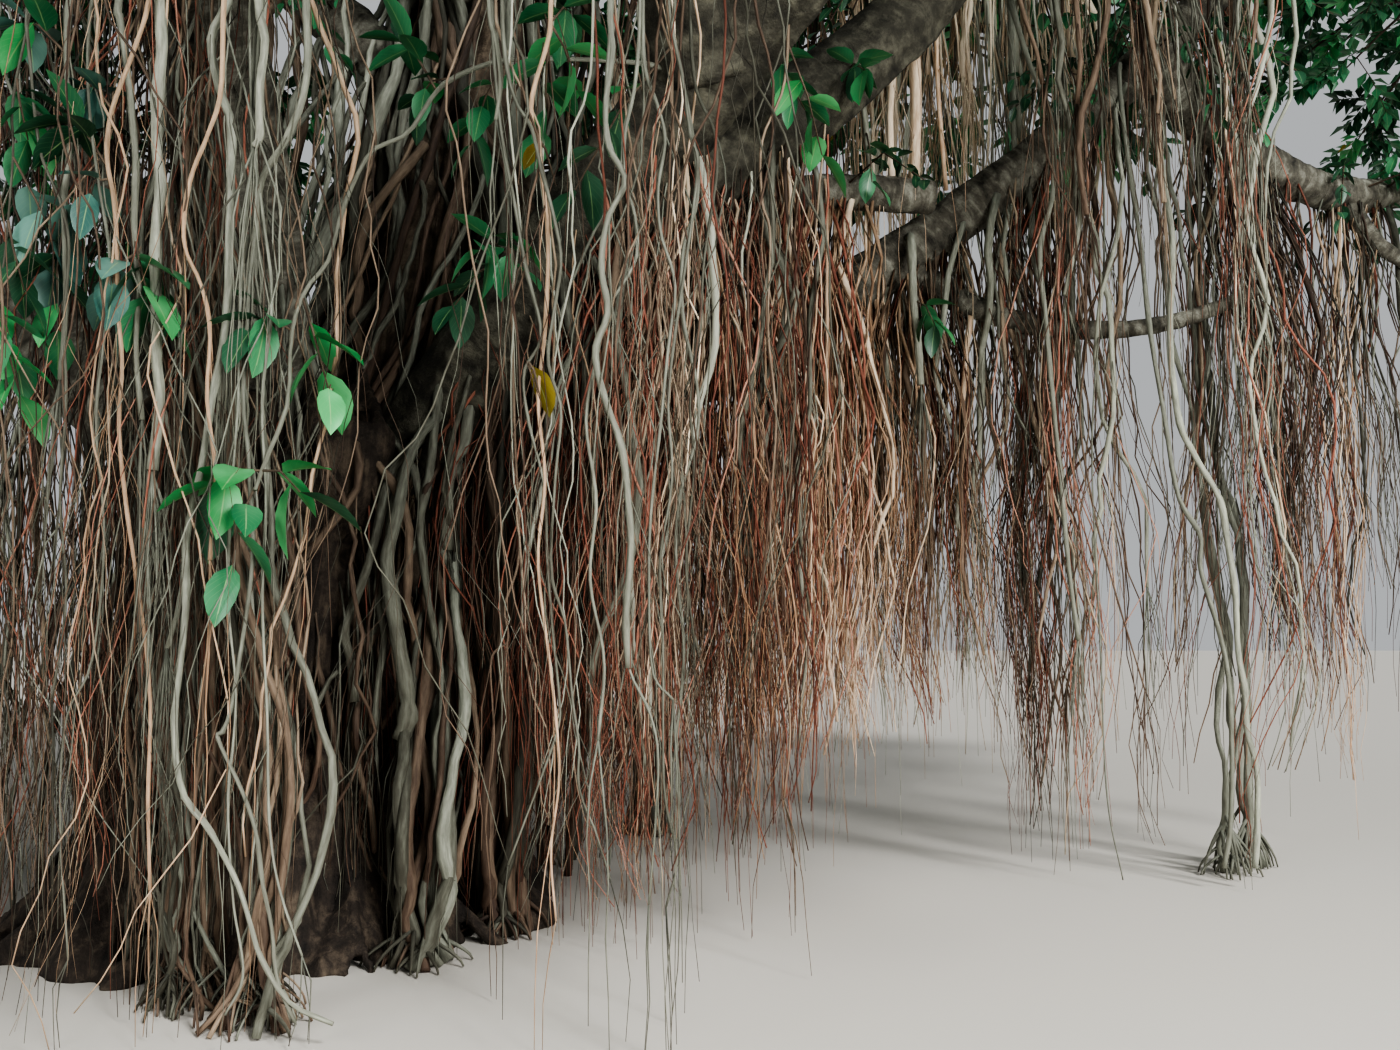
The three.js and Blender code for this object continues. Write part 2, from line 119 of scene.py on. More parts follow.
def newMaterial(name):
    material = bpy.data.materials.new(name)
    material.use_nodes = True
    material.node_tree.nodes.clear()
    return material, material.node_tree


def setUpCamera():
    pitch = math.radians(90 + photoView["pitch"])
    bpy.ops.object.camera_add(location=photoView["place"], rotation=(pitch, 0, 0))
    camera = bpy.context.object
    camera.name = "photoCamera"
    camera.data.sensor_width = photoView["sensor"]
    camera.data.lens = photoView["sensor"] * photoView["focal"] / photoView["width"]
    camera.data.clip_end = photoView["farthest"]
    bpy.context.scene.camera = camera


def setUpStage():
    bpy.ops.mesh.primitive_plane_add(size=stageLook["floorSize"])
    floor = bpy.context.object
    floor.name = "studioFloor"
    material, tree = newMaterial("matte studio floor")
    surface = addNode(tree, "BsdfPrincipled", {
        "Base Color": linearColor(stageLook["floorColor"]), "Roughness": stageLook["floorRoughness"]})
    addNode(tree, "OutputMaterial", {"Surface": surface.outputs[0]})
    floor.data.materials.append(material)

    world = bpy.data.worlds.new("softSky")
    bpy.context.scene.world = world
    world.use_nodes = True
    background = world.node_tree.nodes["Background"]
    background.inputs["Color"].default_value = linearColor(stageLook["skyColor"])
    background.inputs["Strength"].default_value = stageLook["skyStrength"]

    bpy.ops.object.light_add(type="SUN", rotation=[math.radians(a) for a in stageLook["sunTurn"]])
    sun = bpy.context.object
    sun.data.energy = stageLook["sunPower"]
    sun.data.angle = math.radians(stageLook["sunAngle"])
    for place, aim, size, power in stageLook["softboxes"]:
        turn = (Vector(aim) - Vector(place)).to_track_quat("-Z", "Y").to_euler()
        bpy.ops.object.light_add(type="AREA", location=place, rotation=turn)
        softbox = bpy.context.object
        softbox.data.size = size
        softbox.data.energy = power
        softbox.visible_camera = False
    bpy.context.scene.view_settings.look = stageLook["look"]


setUpCamera()
setUpStage()
print("camera, floor and lights set")


# the limbs' centre lines, by the same rule as the solids

trunk = {
    "height": 2.95,
    "footRadius": 1.3,
    "waistRadius": 0.86,
    "shoulderRadius": 0.98,
    "crownRadius": 0.65,
    "flareHeight": 0.45,
    "shoulderStart": 1.9,
    "domeStart": 2.45,
    "lean": (0.02, 0.015),
}

# heading from +X towards +Y and climb from level, in degrees, from base to tip; lengths in metres
boughs = {
    "main_bough": dict(start=(-0.05, 0.05, 1.35), heading=(-14, -56), climb=(58, 19), length=8.5,
                       radius=(0.36, 0.13)),
    "low_right_bough": dict(start=(0.2, 0.25, 2.35), heading=(27, -32), climb=(18, 46), length=7.4,
                            radius=(0.26, 0.11)),
    "left_bough": dict(start=(-0.3, 0, 2.2), heading=(192, 184), climb=(46, 12), length=8,
                       radius=(0.33, 0.12)),
    "back_left_bough": dict(start=(-0.2, 0.25, 2.3), heading=(132, 124), climb=(50, 12), length=7.8,
                            radius=(0.31, 0.12)),
    "back_bough": dict(start=(0.05, 0.35, 2.4), heading=(92, 80), climb=(52, 12), length=8,
                       radius=(0.3, 0.12)),
    "back_right_bough": dict(start=(0.3, 0.3, 2.6), heading=(60, 42), climb=(60, 14), length=7.6,
                             radius=(0.27, 0.11)),
    "front_left_bough": dict(start=(-0.1, -0.3, 2.45), heading=(-78, -122), climb=(62, 14), length=7.8,
                             radius=(0.3, 0.12)),
    "leader": dict(start=(0.2, 0.3, 2.1), heading=(25, 150), climb=(74, 80), length=7.3,
                   radius=(0.66, 0.14)),
    "cross_bough": dict(start=(0.35, 0.35, 2.75), heading=(3, 5), climb=(55, -6), length=4,
                        radius=(0.16, 0.11)),
    "right_bough": dict(parent="main_bough", share=0.364, heading=(14, 2), climb=(25, 80), length=5.4,
                        radius=(0.27, 0.11)),
    "front_bough": dict(parent="main_bough", share=0.47, heading=(-112, -58), climb=(50, 14), length=5.6,
                        radius=(0.24, 0.12)),
    "far_right_bough": dict(parent="low_right_bough", share=0.81, heading=(18, 22), climb=(-49, 63),
                            length=4, radius=(0.15, 0.09)),
    "low_branch": dict(parent="low_right_bough", share=0.533, heading=(-8, -20), climb=(-44, 25),
                       length=2.4, radius=(0.09, 0.045)),
    "left_front_bough": dict(parent="left_bough", share=0.34, heading=(228, 246), climb=(44, 16),
                             length=5.2, radius=(0.2, 0.11)),
    "left_back_bough": dict(parent="back_left_bough", share=0.34, heading=(155, 184), climb=(46, 18),
                            length=5, radius=(0.2, 0.11)),
    "crown_left_bough": dict(parent="leader", share=0.4, heading=(200, 194), climb=(36, 48), length=4.8,
                             radius=(0.2, 0.11)),
    "crown_back_bough": dict(parent="leader", share=0.5, heading=(122, 108), climb=(36, 52), length=4.4,
                             radius=(0.19, 0.11)),
    "crown_front_bough": dict(parent="leader", share=0.45, heading=(-94, -80), climb=(40, 52), length=4.6,
                              radius=(0.19, 0.11)),
    "crown_right_bough": dict(parent="leader", share=0.56, heading=(12, 30), climb=(32, 48), length=4.3,
                              radius=(0.18, 0.1)),
    "dead_spur": dict(parent="far_right_bough", share=0.46, heading=(-30, 20), climb=(-82, -8),
                      length=0.85, radius=(0.07, 0.035)),
}
boughSteps = 6  # straight steps in each centre line


def mix(a, b, share):
    return a + (b - a) * share


def smoothStep(value, low, high):
    share = min(1.0, max(0.0, (value - low) / (high - low)))
    return share * share * (3 - 2 * share)


def pointOn(path, share):  # the same smooth curve through the points as the solids have
    last = len(path) - 1
    place = min(max(share, 0.0), 1.0) * last
    i = min(int(place), last - 1)
    w = place - i
    before = path[i - 1] if i > 0 else 2 * path[0] - path[1]
    after = path[i + 2] if i + 2 <= last else 2 * path[last] - path[last - 1]
    a, b = path[i], path[i + 1]
    enter, leave = (b - before) / 2, (after - a) / 2
    return a + enter * w + (3 * (b - a) - 2 * enter - leave) * w**2 + (2 * (a - b) + enter + leave) * w**3


def directionOn(path, share):
    ahead = pointOn(path, min(1, share + 0.01)) - pointOn(path, max(0, share - 0.01))
    return ahead / np.linalg.norm(ahead)


def centreLine(bough):
    if "parent" in bough:
        place = pointOn(lines[bough["parent"]], bough["share"])
    else:
        place = np.array(bough["start"], float)
    points = [place]
    for i in range(boughSteps):
        share = (i + 0.5) / boughSteps
        heading = math.radians(mix(*bough["heading"], share))
        climb = math.radians(mix(*bough["climb"], share))
        level = math.cos(climb)
        step = np.array([level * math.cos(heading), level * math.sin(heading), math.sin(climb)])
        place = place + step * bough["length"] / boughSteps
        points.append(place)
    return np.array(points)


lines = {}
for boughName, bough in boughs.items():
    lines[boughName] = centreLine(bough)


# materials: what each real surface is

# grey fig bark: dark in its folds, the body of it, and pale lichen
barkColors = {
    "figBark": ("#26241f", "#5d5a50", "#97978b"),
    # painted shade: a darker copy of the fig bark, for the boughs deep under the crown
    "shadedBark": ("#15140f", "#3c3a31", "#6d6b5d"),
    "trunkRoots": ("#100d0a", "#312922", "#64584a"),
    "leaderRoots": ("#1b1611", "#4f4437", "#8c7e6c"),
}
# how the grain is stretched: round the limb and along it, in cycles per metre
wrinkleScales = {
    "figBark": (6.0, 19.0),
    "shadedBark": (5.0, 9.0),
    "trunkRoots": (16.0, 2.0),
    "leaderRoots": (16.0, 2.0),
}

# skins of hanging roots, from the shaded side of the bundle to the brightest root in it, and young tips
rootColors = {
    "maroonRoot": ("#2e1710", "#60392d", "#945f4e", "#bf9480", "#914f38"),
    "brownRoot": ("#211913", "#4d4035", "#7e6f5e", "#ae9f89", "#82523a"),
    "greyRoot": ("#23221c", "#4b4b41", "#7e8175", "#aeb1a2", "#74654d"),
    # painted sunlight: a lit, pale cream copy of the root skin, for roots standing in sunlight; its young
    # tips are orange
    "sunlitRoot": ("#483a2d", "#88715a", "#bfa78d", "#ecdfc8", "#bd7a50"),
}

# leaves, each from its darker to its lighter patches
leafColors = {
    "shadeLeaf": ("#1d4530", "#366148"),
    "figLeaf": ("#2a6643", "#4a8a60"),
    "youngLeaf": ("#378a4e", "#64b478"),
    "blueLeaf": ("#3a625a", "#6b9286"),
    "oldLeaf": ("#726423", "#9c8c3a"),
}
veinColor = "#a3c288"


def setRamp(ramp, stops):
    elements = ramp.color_ramp.elements
    while len(elements) < len(stops):
        elements.new(0.5)
    for element, (position, hexColor) in zip(elements, stops):
        element.position = position
        element.color = linearColor(hexColor)


def makeBark(name, dark, body, pale):
    # matte bark with fine wrinkles about 40 mm apart and patches of lichen a hand wide
    material, tree = newMaterial(name)
    around, along = wrinkleScales[name]
    place = addNode(tree, "Attribute", attribute_name="limbPlace").outputs["Vector"]
    stretched = addNode(tree, "Mapping", {"Vector": place, "Scale": (around, around, along)})
    wrinkles = addNode(tree, "TexNoise", {
        "Vector": stretched.outputs["Vector"], "Scale": 1.0, "Detail": 6.0, "Roughness": 0.62,
        "Distortion": 0.4})
    mottle = addNode(tree, "TexNoise", {
        "Vector": place, "Scale": 7.0, "Detail": 9.0, "Roughness": 0.68})
    patches = addNode(tree, "TexNoise", {
        "Vector": place, "Scale": 3.2, "Detail": 7.0, "Roughness": 0.72})
    pores = addNode(tree, "TexNoise", {"Vector": place, "Scale": 90.0, "Detail": 3.0})
    blend = addNode(tree, "Mix", {
        "Factor": 0.5, "A": wrinkles.outputs["Fac"], "B": mottle.outputs["Fac"]}, data_type="FLOAT")
    bodyRamp = addNode(tree, "ValToRGB", {"Fac": blend.outputs["Result"]})
    setRamp(bodyRamp, [(0.36, dark), (0.5, body), (0.66, pale)])
    lichenEdge = addNode(tree, "MapRange", {
        "Value": patches.outputs["Fac"], "From Min": 0.56, "From Max": 0.66, "To Min": 0.0, "To Max": 0.5})
    lichened = addNode(tree, "Mix", {
        "Factor": lichenEdge.outputs["Result"], "A": bodyRamp.outputs["Color"], "B": linearColor(pale)},
        data_type="RGBA")
    height = addNode(tree, "Math", {
        0: pores.outputs["Fac"], 1: 0.25, 2: blend.outputs["Result"]}, operation="MULTIPLY_ADD")
    bump = addNode(tree, "Bump", {
        "Height": height.outputs[0], "Strength": 0.9, "Distance": 0.03})
    surface = addNode(tree, "BsdfPrincipled", {
        "Base Color": lichened.outputs["Result"], "Roughness": 0.87, "Normal": bump.outputs["Normal"]})
    addNode(tree, "OutputMaterial", {"Surface": surface.outputs[0]})
    return material


def makeRootSkin(name, shaded, body, lit, pale, young):
    # corky skin of an aerial root: matte, streaked, ringed every few centimetres, reddish near its young tip
    material, tree = newMaterial(name)
    place = addNode(tree, "UVMap", uv_map="rootMap").outputs["UV"]
    shade = addNode(tree, "Attribute", attribute_name="shade").outputs["Fac"]
    youth = addNode(tree, "Attribute", attribute_name="youth").outputs["Fac"]
    ownSkin = addNode(tree, "Math", {0: shade, 1: 37.0}, operation="MULTIPLY")
    rings = addNode(tree, "Mapping", {"Vector": place, "Scale": (60.0, 9.0, 1.0)})
    streaks = addNode(tree, "TexNoise", {
        "Vector": rings.outputs["Vector"], "W": ownSkin.outputs[0], "Scale": 1.0, "Detail": 4.0,
        "Roughness": 0.6}, noise_dimensions="4D")
    tone = addNode(tree, "Math", {
        0: streaks.outputs["Fac"], 1: 0.8, 2: -0.4}, operation="MULTIPLY_ADD")
    total = addNode(tree, "Math", {0: shade, 1: tone.outputs[0]}, operation="ADD")
    ramp = addNode(tree, "ValToRGB", {"Fac": total.outputs[0]})
    setRamp(ramp, [(0.05, shaded), (0.38, body), (0.7, lit), (0.98, pale)])
    tinted = addNode(tree, "Mix", {
        "Factor": youth, "A": ramp.outputs["Color"], "B": linearColor(young)}, data_type="RGBA")
    bump = addNode(tree, "Bump", {
        "Height": streaks.outputs["Fac"], "Strength": 0.6, "Distance": 0.006})
    surface = addNode(tree, "BsdfPrincipled", {
        "Base Color": tinted.outputs["Result"], "Roughness": 0.78, "Normal": bump.outputs["Normal"]})
    addNode(tree, "OutputMaterial", {"Surface": surface.outputs[0]})
    return material


def makeLeafSkin(name, dark, light):
    # waxed fig leaf: glossy, mottled a little from leaf to leaf, with a pale midrib and faint side veins
    material, tree = newMaterial(name)
    place = addNode(tree, "TexCoord").outputs["Object"]
    mottle = addNode(tree, "TexNoise", {"Vector": place, "Scale": 3.5, "Detail": 2.0})
    ramp = addNode(tree, "ValToRGB", {"Fac": mottle.outputs["Fac"]})
    setRamp(ramp, [(0.38, dark), (0.62, light)])
    leafMap = addNode(tree, "UVMap", uv_map="leafMap").outputs["UV"]
    onLeaf = addNode(tree, "SeparateXYZ", {"Vector": leafMap})
    fromRib = addNode(tree, "Math", {0: onLeaf.outputs["X"], 1: 0.5}, operation="SUBTRACT")
    ribSide = addNode(tree, "Math", {0: fromRib.outputs[0]}, operation="ABSOLUTE")
    rib = addNode(tree, "MapRange", {
        "Value": ribSide.outputs[0], "From Min": 0.01, "From Max": 0.03, "To Min": 0.5, "To Max": 0.0})
    slant = addNode(tree, "Math", {
        0: ribSide.outputs[0], 1: -0.7, 2: onLeaf.outputs["Y"]}, operation="MULTIPLY_ADD")
    rows = addNode(tree, "Math", {0: slant.outputs[0], 1: 8.0}, operation="MULTIPLY")
    row = addNode(tree, "Math", {0: rows.outputs[0], 1: 0.5}, operation="PINGPONG")
    veins = addNode(tree, "MapRange", {
        "Value": row.outputs[0], "From Min": 0.0, "From Max": 0.09, "To Min": 0.1, "To Max": 0.0})
    ribAndVeins = addNode(tree, "Math", {
        0: rib.outputs["Result"], 1: veins.outputs["Result"]}, operation="MAXIMUM")
    veined = addNode(tree, "Mix", {
        "Factor": ribAndVeins.outputs[0], "A": ramp.outputs["Color"], "B": linearColor(veinColor)},
        data_type="RGBA")
    surface = addNode(tree, "BsdfPrincipled", {
        "Base Color": veined.outputs["Result"], "Roughness": 0.36, "IOR": 1.45})
    addNode(tree, "OutputMaterial", {"Surface": surface.outputs[0]})
    return material


materials = {}
for skinName, colors in barkColors.items():
    materials[skinName] = makeBark(skinName, *colors)
for skinName, colors in rootColors.items():
    materials[skinName] = makeRootSkin(skinName, *colors)
for skinName, colors in leafColors.items():
    materials[skinName] = makeLeafSkin(skinName, *colors)
print("materials made")


# tubes: limbs start as curves with a round bevel, then are melted together and get their relief

tubeRoundness = 3  # of the bevel, for limbs
reliefDepth = 3
grainSamples = 60  # places along a limb's line where the grain's direction is worked out
grainBatch = 4000  # vertices at a time, to spare memory


def selectOnly(piece):
    bpy.ops.object.select_all(action="DESELECT")
    piece.select_set(True)
    bpy.context.view_layer.objects.active = piece


def editWhole(piece):  # edit mode with everything selected
    selectOnly(piece)
    bpy.ops.object.mode_set(mode="EDIT")
    bpy.ops.mesh.select_all(action="SELECT")


def makeTubes(name, tubes, skin):
    curve = bpy.data.curves.new(name, "CURVE")
    curve.dimensions = "3D"
    curve.bevel_depth = 1
    curve.bevel_resolution = tubeRoundness
    curve.use_fill_caps = True
    for points, radii in tubes:
        spline = curve.splines.new("POLY")
        spline.points.add(len(points) - 1)
        places = np.ones((len(points), 4))
        places[:, :3] = points
        spline.points.foreach_set("co", places.ravel())
        spline.points.foreach_set("radius", np.asarray(radii, float))
        spline.use_smooth = True
    curve.materials.append(materials[skin])
    piece = bpy.data.objects.new(name, curve)
    bpy.context.collection.objects.link(piece)
    selectOnly(piece)
    bpy.ops.object.convert(target="MESH")
    return bpy.context.object


def applyModifier(piece, kind, **settings):
    modifier = piece.modifiers.new(kind, kind)
    for key, value in settings.items():
        setattr(modifier, key, value)
    selectOnly(piece)
    bpy.ops.object.modifier_apply(modifier=modifier.name)


def cutAtGround(piece):
    editWhole(piece)
    bpy.ops.mesh.bisect(plane_co=(0, 0, 0), plane_no=(0, 0, 1), clear_inner=True, use_fill=True)
    bpy.ops.object.mode_set(mode="OBJECT")


def fuse(piece, voxel, relief):
    # melts the tubes into one skin and works the bark's relief into it, by the size and height of its lumps
    applyModifier(piece, "REMESH", mode="VOXEL", voxel_size=voxel)
    applyModifier(piece, "SMOOTH", factor=0.5, iterations=1)
    for size, strength in relief:
        clouds = bpy.data.textures.new("barkRelief", "CLOUDS")
        clouds.noise_scale = size
        clouds.noise_depth = reliefDepth
        applyModifier(piece, "DISPLACE", texture=clouds, texture_coords="LOCAL", strength=strength,
                      mid_level=0.5)
    selectOnly(piece)
    bpy.ops.object.shade_smooth()


def lengthsAlong(points):  # from the first point to each one
    return np.concatenate([[0], np.cumsum(np.linalg.norm(np.diff(points, axis=0), axis=1))])


def placeOnLimb(piece, path):
    # bark grain follows the limb: each vertex gets its place as if the limb stood straight up
    shares = np.linspace(0, 1, grainSamples)
    middles = np.array([pointOn(path, s) for s in shares])
    directions = np.array([directionOn(path, s) for s in shares])
    lengths = lengthsAlong(middles)
    count = len(piece.data.vertices)
    vertices = np.empty(count * 3)
    piece.data.vertices.foreach_get("co", vertices)
    vertices = vertices.reshape(-1, 3)
    straight = np.empty((count, 3))
    upright = abs(directions[grainSamples // 2][2]) > 0.8
    reference = np.array([0.05, 1.0, 0.0] if upright else [0.0, 0.05, 1.0])
    for first in range(0, count, grainBatch):
        part = vertices[first:first + grainBatch]
        nearest = ((part[:, None, :] - middles[None]) ** 2).sum(axis=2).argmin(axis=1)
        away = part - middles[nearest]
        along = directions[nearest]
        across = np.cross(reference, along)
        across /= np.linalg.norm(across, axis=1)[:, None]
        up = np.cross(along, across)
        inBatch = straight[first:first + grainBatch]
        inBatch[:, 0] = (away * across).sum(axis=1)
        inBatch[:, 1] = (away * up).sum(axis=1)
        inBatch[:, 2] = lengths[nearest] + (away * along).sum(axis=1)
    layer = piece.data.attributes.new("limbPlace", "FLOAT_VECTOR", "POINT")
    layer.data.foreach_set("vector", straight.ravel())


def finishPiece(piece, nodes=()):
    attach(piece, "root")
    if nodes:
        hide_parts(*nodes)
    piece.data.calc_loop_triangles()
    print(piece.name, len(piece.data.loop_triangles), "triangles")


def sideAxes(direction, reference):
    across = np.cross(reference, direction)
    across = across / np.linalg.norm(across)
    return across, np.cross(direction, across)


def pathLength(path):
    return np.linalg.norm(np.diff(path, axis=0), axis=1).sum()


clingLook = {
    "step": 0.12,  # metres between points
    "turn": 1.5,  # radians round the limb over its whole length, at most
    "wave": 0.22,  # radians to each side, and how fast it comes and goes along the limb
    "waveRate": 23,
    "lumps": 0.04,  # in and out, as a share of the limb's radius
    "lumpRate": 31,
    "sunk": 0.3,  # as a share of the root's own thickness
}


def clingingRoots(path, radiusAt, look, random):
    tubes = []
    upright = abs(directionOn(path, 0.5)[2]) > 0.9
    reference = np.array([0.0, 1.0, 0.0] if upright else [0.0, 0.0, 1.0])
    wave = look.get("wave", clingLook["wave"])
    for _ in range(look["roots"]):
        first = random.uniform(*look["from"])
        last = min(1.0, first + random.uniform(*look["run"]))
        thickness = mix(*look["thick"], random.random() ** 2)
        angle = random.uniform(0, 2 * math.pi)
        turn = random.uniform(-1, 1) * look.get("turn", clingLook["turn"])
        phase = random.uniform(0, 6.28)
        proud = random.uniform(*look["proud"])
        count = max(4, int((last - first) * pathLength(path) / clingLook["step"]))
        points, radii = [], []
        for k in range(count + 1):
            share = mix(first, last, k / count)
            across, up = sideAxes(directionOn(path, share), reference)
            here = angle + turn * (share - first) + wave * math.sin(clingLook["waveRate"] * share + phase)
            out = proud + clingLook["lumps"] * math.sin(clingLook["lumpRate"] * share + phase)
            away = radiusAt(share) * out - thickness * clingLook["sunk"]
            points.append(pointOn(path, share) + (across * math.cos(here) + up * math.sin(here)) * away)
            radii.append(thickness * (0.5 + 0.5 * math.sin(math.pi * min(1, k / count + 0.15))))
        tubes.append((points, radii))
    return tubes


def limbTube(path, radiusAt, step):
    count = int(pathLength(path) / step)
    shares = [k / count for k in range(count + 1)]
    return [pointOn(path, s) for s in shares], [radiusAt(s) for s in shares]


# trunk: a core hidden under big and small roots that flare out at the foot

trunkLook = {
    "seed": 11,
    "core": 0.8,  # share of the trunk's radius
    "coreSteps": 26,
    # count, thickness and how far out each kind lies; the last cross each other
    "rootKinds": [
        dict(count=26, thick=(0.09, 0.16), proud=0.9, wave=0.1, twist=0.15),
        dict(count=80, thick=(0.03, 0.065), proud=0.99, wave=0.12, twist=0.25),
        dict(count=70, thick=(0.014, 0.03), proud=1.03, wave=0.16, twist=0.5),
    ],
    "rootSteps": 34,
    "tops": (0.6, 1.0),  # where roots begin, as shares of the height
    "topSlack": 0.1,
    "sunk": 0.35,  # as a share of the root's own thickness
    "toes": 0.14,  # how far roots part in and out at the ground, and over what height
    "toeHeight": 0.25,
    "swelling": 0.4,  # of each root at its foot, and over what height
    "swellingHeight": 0.35,
    "lumps": 0.18,
    "below": 0.3,  # run on under the ground and cut flat there
    "voxel": 0.032,
    "relief": [(0.07, 0.014), (0.03, 0.007)],
}


def trunkRadius(height):
    level = max(0.0, height)
    flare = (trunk["footRadius"] - trunk["waistRadius"]) * math.exp(-level / trunk["flareHeight"])
    swell = smoothStep(level, trunk["shoulderStart"], trunk["domeStart"])
    dome = smoothStep(level, trunk["domeStart"], trunk["height"])
    column = mix(trunk["waistRadius"], trunk["shoulderRadius"], swell) + flare
    return mix(column, trunk["crownRadius"], dome * dome)


def trunkPlace(height, angle, away):
    return np.array([trunk["lean"][0] * height + away * math.cos(angle),
                     trunk["lean"][1] * height + away * math.sin(angle), height])


def makeTrunk():
    look = trunkLook
    random = np.random.RandomState(look["seed"])
    heights = np.linspace(-look["below"], trunk["height"] - look["topSlack"], look["coreSteps"])
    tubes = [([trunkPlace(h, 0, 0) for h in heights], [trunkRadius(h) * look["core"] for h in heights])]
    for kind in look["rootKinds"]:
        for i in range(kind["count"]):
            angle = 2 * math.pi * (i + random.uniform(-0.4, 0.4)) / kind["count"]
            phase = random.uniform(0, 6.28)
            twist = random.uniform(-1, 1) * kind["twist"]
            thickness = random.uniform(*kind["thick"])
            top = random.uniform(*look["tops"]) * (trunk["height"] + look["topSlack"])
            waver = 0.03 + 0.05 * thickness / 0.1  # thick roots stray farther in and out
            points, radii = [], []
            for h in np.linspace(top, -look["below"], look["rootSteps"]):
                wave = kind["wave"] * (math.sin(1.7 * h + phase) + 0.5 * math.sin(4.3 * h + 2 * phase))
                away = trunkRadius(h) * kind["proud"] + waver * math.sin(3.1 * h + 3 * phase)
                away = away - thickness * look["sunk"]
                toes = look["toes"] * math.exp(-max(h, 0) / look["toeHeight"])
                away += toes * math.sin(phase * 5 + i)
                points.append(trunkPlace(h, angle + twist * h + wave, away))
                swelling = look["swelling"] * math.exp(-max(h, 0) / look["swellingHeight"])
                radii.append(thickness * (1 + look["lumps"] * math.sin(6.5 * h + phase) + swelling))
            tubes.append((points, radii))
    piece = makeTubes("trunk_of_fused_roots", tubes, "trunkRoots")
    fuse(piece, look["voxel"], look["relief"])
    cutAtGround(piece)
    placeOnLimb(piece, np.array([trunkPlace(h, 0, 0) for h in (0, 1, 2, 3)]))
    finishPiece(piece, ["trunk"])


makeTrunk()


# boughs: a core with roots clinging to it, melted together; those near the eye get the finer skin

boughLook = {
    "seed": 40,
    "collar": 0.3,  # swelling at the base, as a share of the radius
    "collarLength": 0.35,
    "step": 0.12,
    "leaderCore": 0.84,  # the leader's core is slimmer, under more roots
    "near": dict(voxel=0.028, relief=[(0.16, 0.035), (0.05, 0.012)]),
    "leader": dict(voxel=0.04, relief=[(0.1, 0.02)]),
    "far": dict(voxel=0.045, relief=[(0.16, 0.035)]),
    "rootsFrom": (0.0, 0.55),  # where clinging roots begin and how far they run, as shares of the limb
    "rootsRun": (0.2, 0.6),
}
nearBoughs = ["main_bough", "low_right_bough", "cross_bough", "right_bough", "far_right_bough",
              "low_branch", "dead_spur"]
boughRoots = {
    "main_bough": dict(roots=14, thick=(0.02, 0.06), proud=(0.86, 0.96)),
    "leader": dict(roots=60, thick=(0.03, 0.09), proud=(0.95, 1.25), turn=0.5, wave=0.08),
    "front_left_bough": dict(roots=18, thick=(0.015, 0.05), proud=(0.95, 1.1)),
    "low_branch": dict(roots=0),
    "dead_spur": dict(roots=0),
    "other": dict(roots=8, thick=(0.01, 0.03), proud=(0.92, 1.02)),
}
# the main, right and front boughs get the darker copy of the fig bark, as painted shade of the crown over
# them
boughSkins = {"leader": "leaderRoots", "main_bough": "shadedBark", "right_bough": "shadedBark",
              "front_bough": "shadedBark"}


def limbRadius(limb, share):
    base, tip = limb["radius"]
    collar = 1 + boughLook["collar"] * math.exp(-share * limb["length"] / boughLook["collarLength"])
    return mix(base, tip, share) * collar


def makeBoughs():
    for i, (name, bough) in enumerate(boughs.items()):
        random = np.random.RandomState(boughLook["seed"] + i)
        path = lines[name]
        look = {"from": boughLook["rootsFrom"], "run": boughLook["rootsRun"],
                **boughRoots.get(name, boughRoots["other"])}
        grain = boughLook.get(name, boughLook["near" if name in nearBoughs else "far"])
        core = boughLook["leaderCore"] if name == "leader" else 1.0
        tubes = [limbTube(path, lambda s: limbRadius(bough, s) * core, boughLook["step"])]
        tubes += clingingRoots(path, lambda s: limbRadius(bough, s), look, random)
        piece = makeTubes(name + "_bark", tubes, boughSkins.get(name, "figBark"))
        fuse(piece, grain["voxel"], grain["relief"])
        placeOnLimb(piece, path)
        finishPiece(piece, [name])


makeBoughs()
print("trunk and boughs made")


# side branches that carry hanging roots outside the solids' boughs

sideBranches = {
    "front_left_side": dict(parent="front_left_bough", share=0.37, heading=(18, -8), climb=(12, -6),
                            length=0.62, radius=(0.07, 0.03)),
    "front_left_outer": dict(parent="front_left_bough", share=0.33, heading=(172, 196), climb=(14, -4),
                             length=1.3, radius=(0.08, 0.03)),
    "front_side": dict(parent="front_bough", share=0.27, heading=(168, 190), climb=(2, -12),
                       length=0.75, radius=(0.06, 0.03)),
    "front_outer": dict(parent="front_bough", share=0.25, heading=(12, -6), climb=(2, -8),
                        length=0.45, radius=(0.055, 0.03)),
    "right_side": dict(parent="right_bough", share=0.56, heading=(-8, 6), climb=(4, -4),
                       length=2.0, radius=(0.08, 0.04)),
    "back_side": dict(parent="crown_right_bough", share=0.8, heading=(-14, 0), climb=(-14, -8),
                      length=2.1, radius=(0.08, 0.04)),
    "left_side": dict(parent="left_bough", share=0.3, heading=(250, 300), climb=(20, -4),
                      length=1.7, radius=(0.09, 0.04)),
}
sideBranchLook = dict(step=0.08, voxel=0.024, relief=[(0.06, 0.012)])
for branchName, branch in sideBranches.items():
    lines[branchName] = centreLine(branch)
limbs = {**boughs, **sideBranches}


def makeSideBranches():
    look = sideBranchLook
    tubes = []
    for name, branch in sideBranches.items():
        tubes.append(limbTube(lines[name], lambda s: limbRadius(branch, s), look["step"]))
    piece = makeTubes("side_branches_bark", tubes, "figBark")
    fuse(piece, look["voxel"], look["relief"])
    placeOnLimb(piece, lines["front_left_side"])
    finishPiece(piece)


makeSideBranches()


# roots and twigs: thousands of thin tubes, joined into one mesh from arrays

tubeSidesBelow = ((0.0045, 3), (0.011, 4), (0.022, 6))  # radius in metres, sides of a thinner tube
mostTubeSides = 8


def tubeSides(radius):
    for limit, sides in tubeSidesBelow:
        if radius < limit:
            return sides
    return mostTubeSides


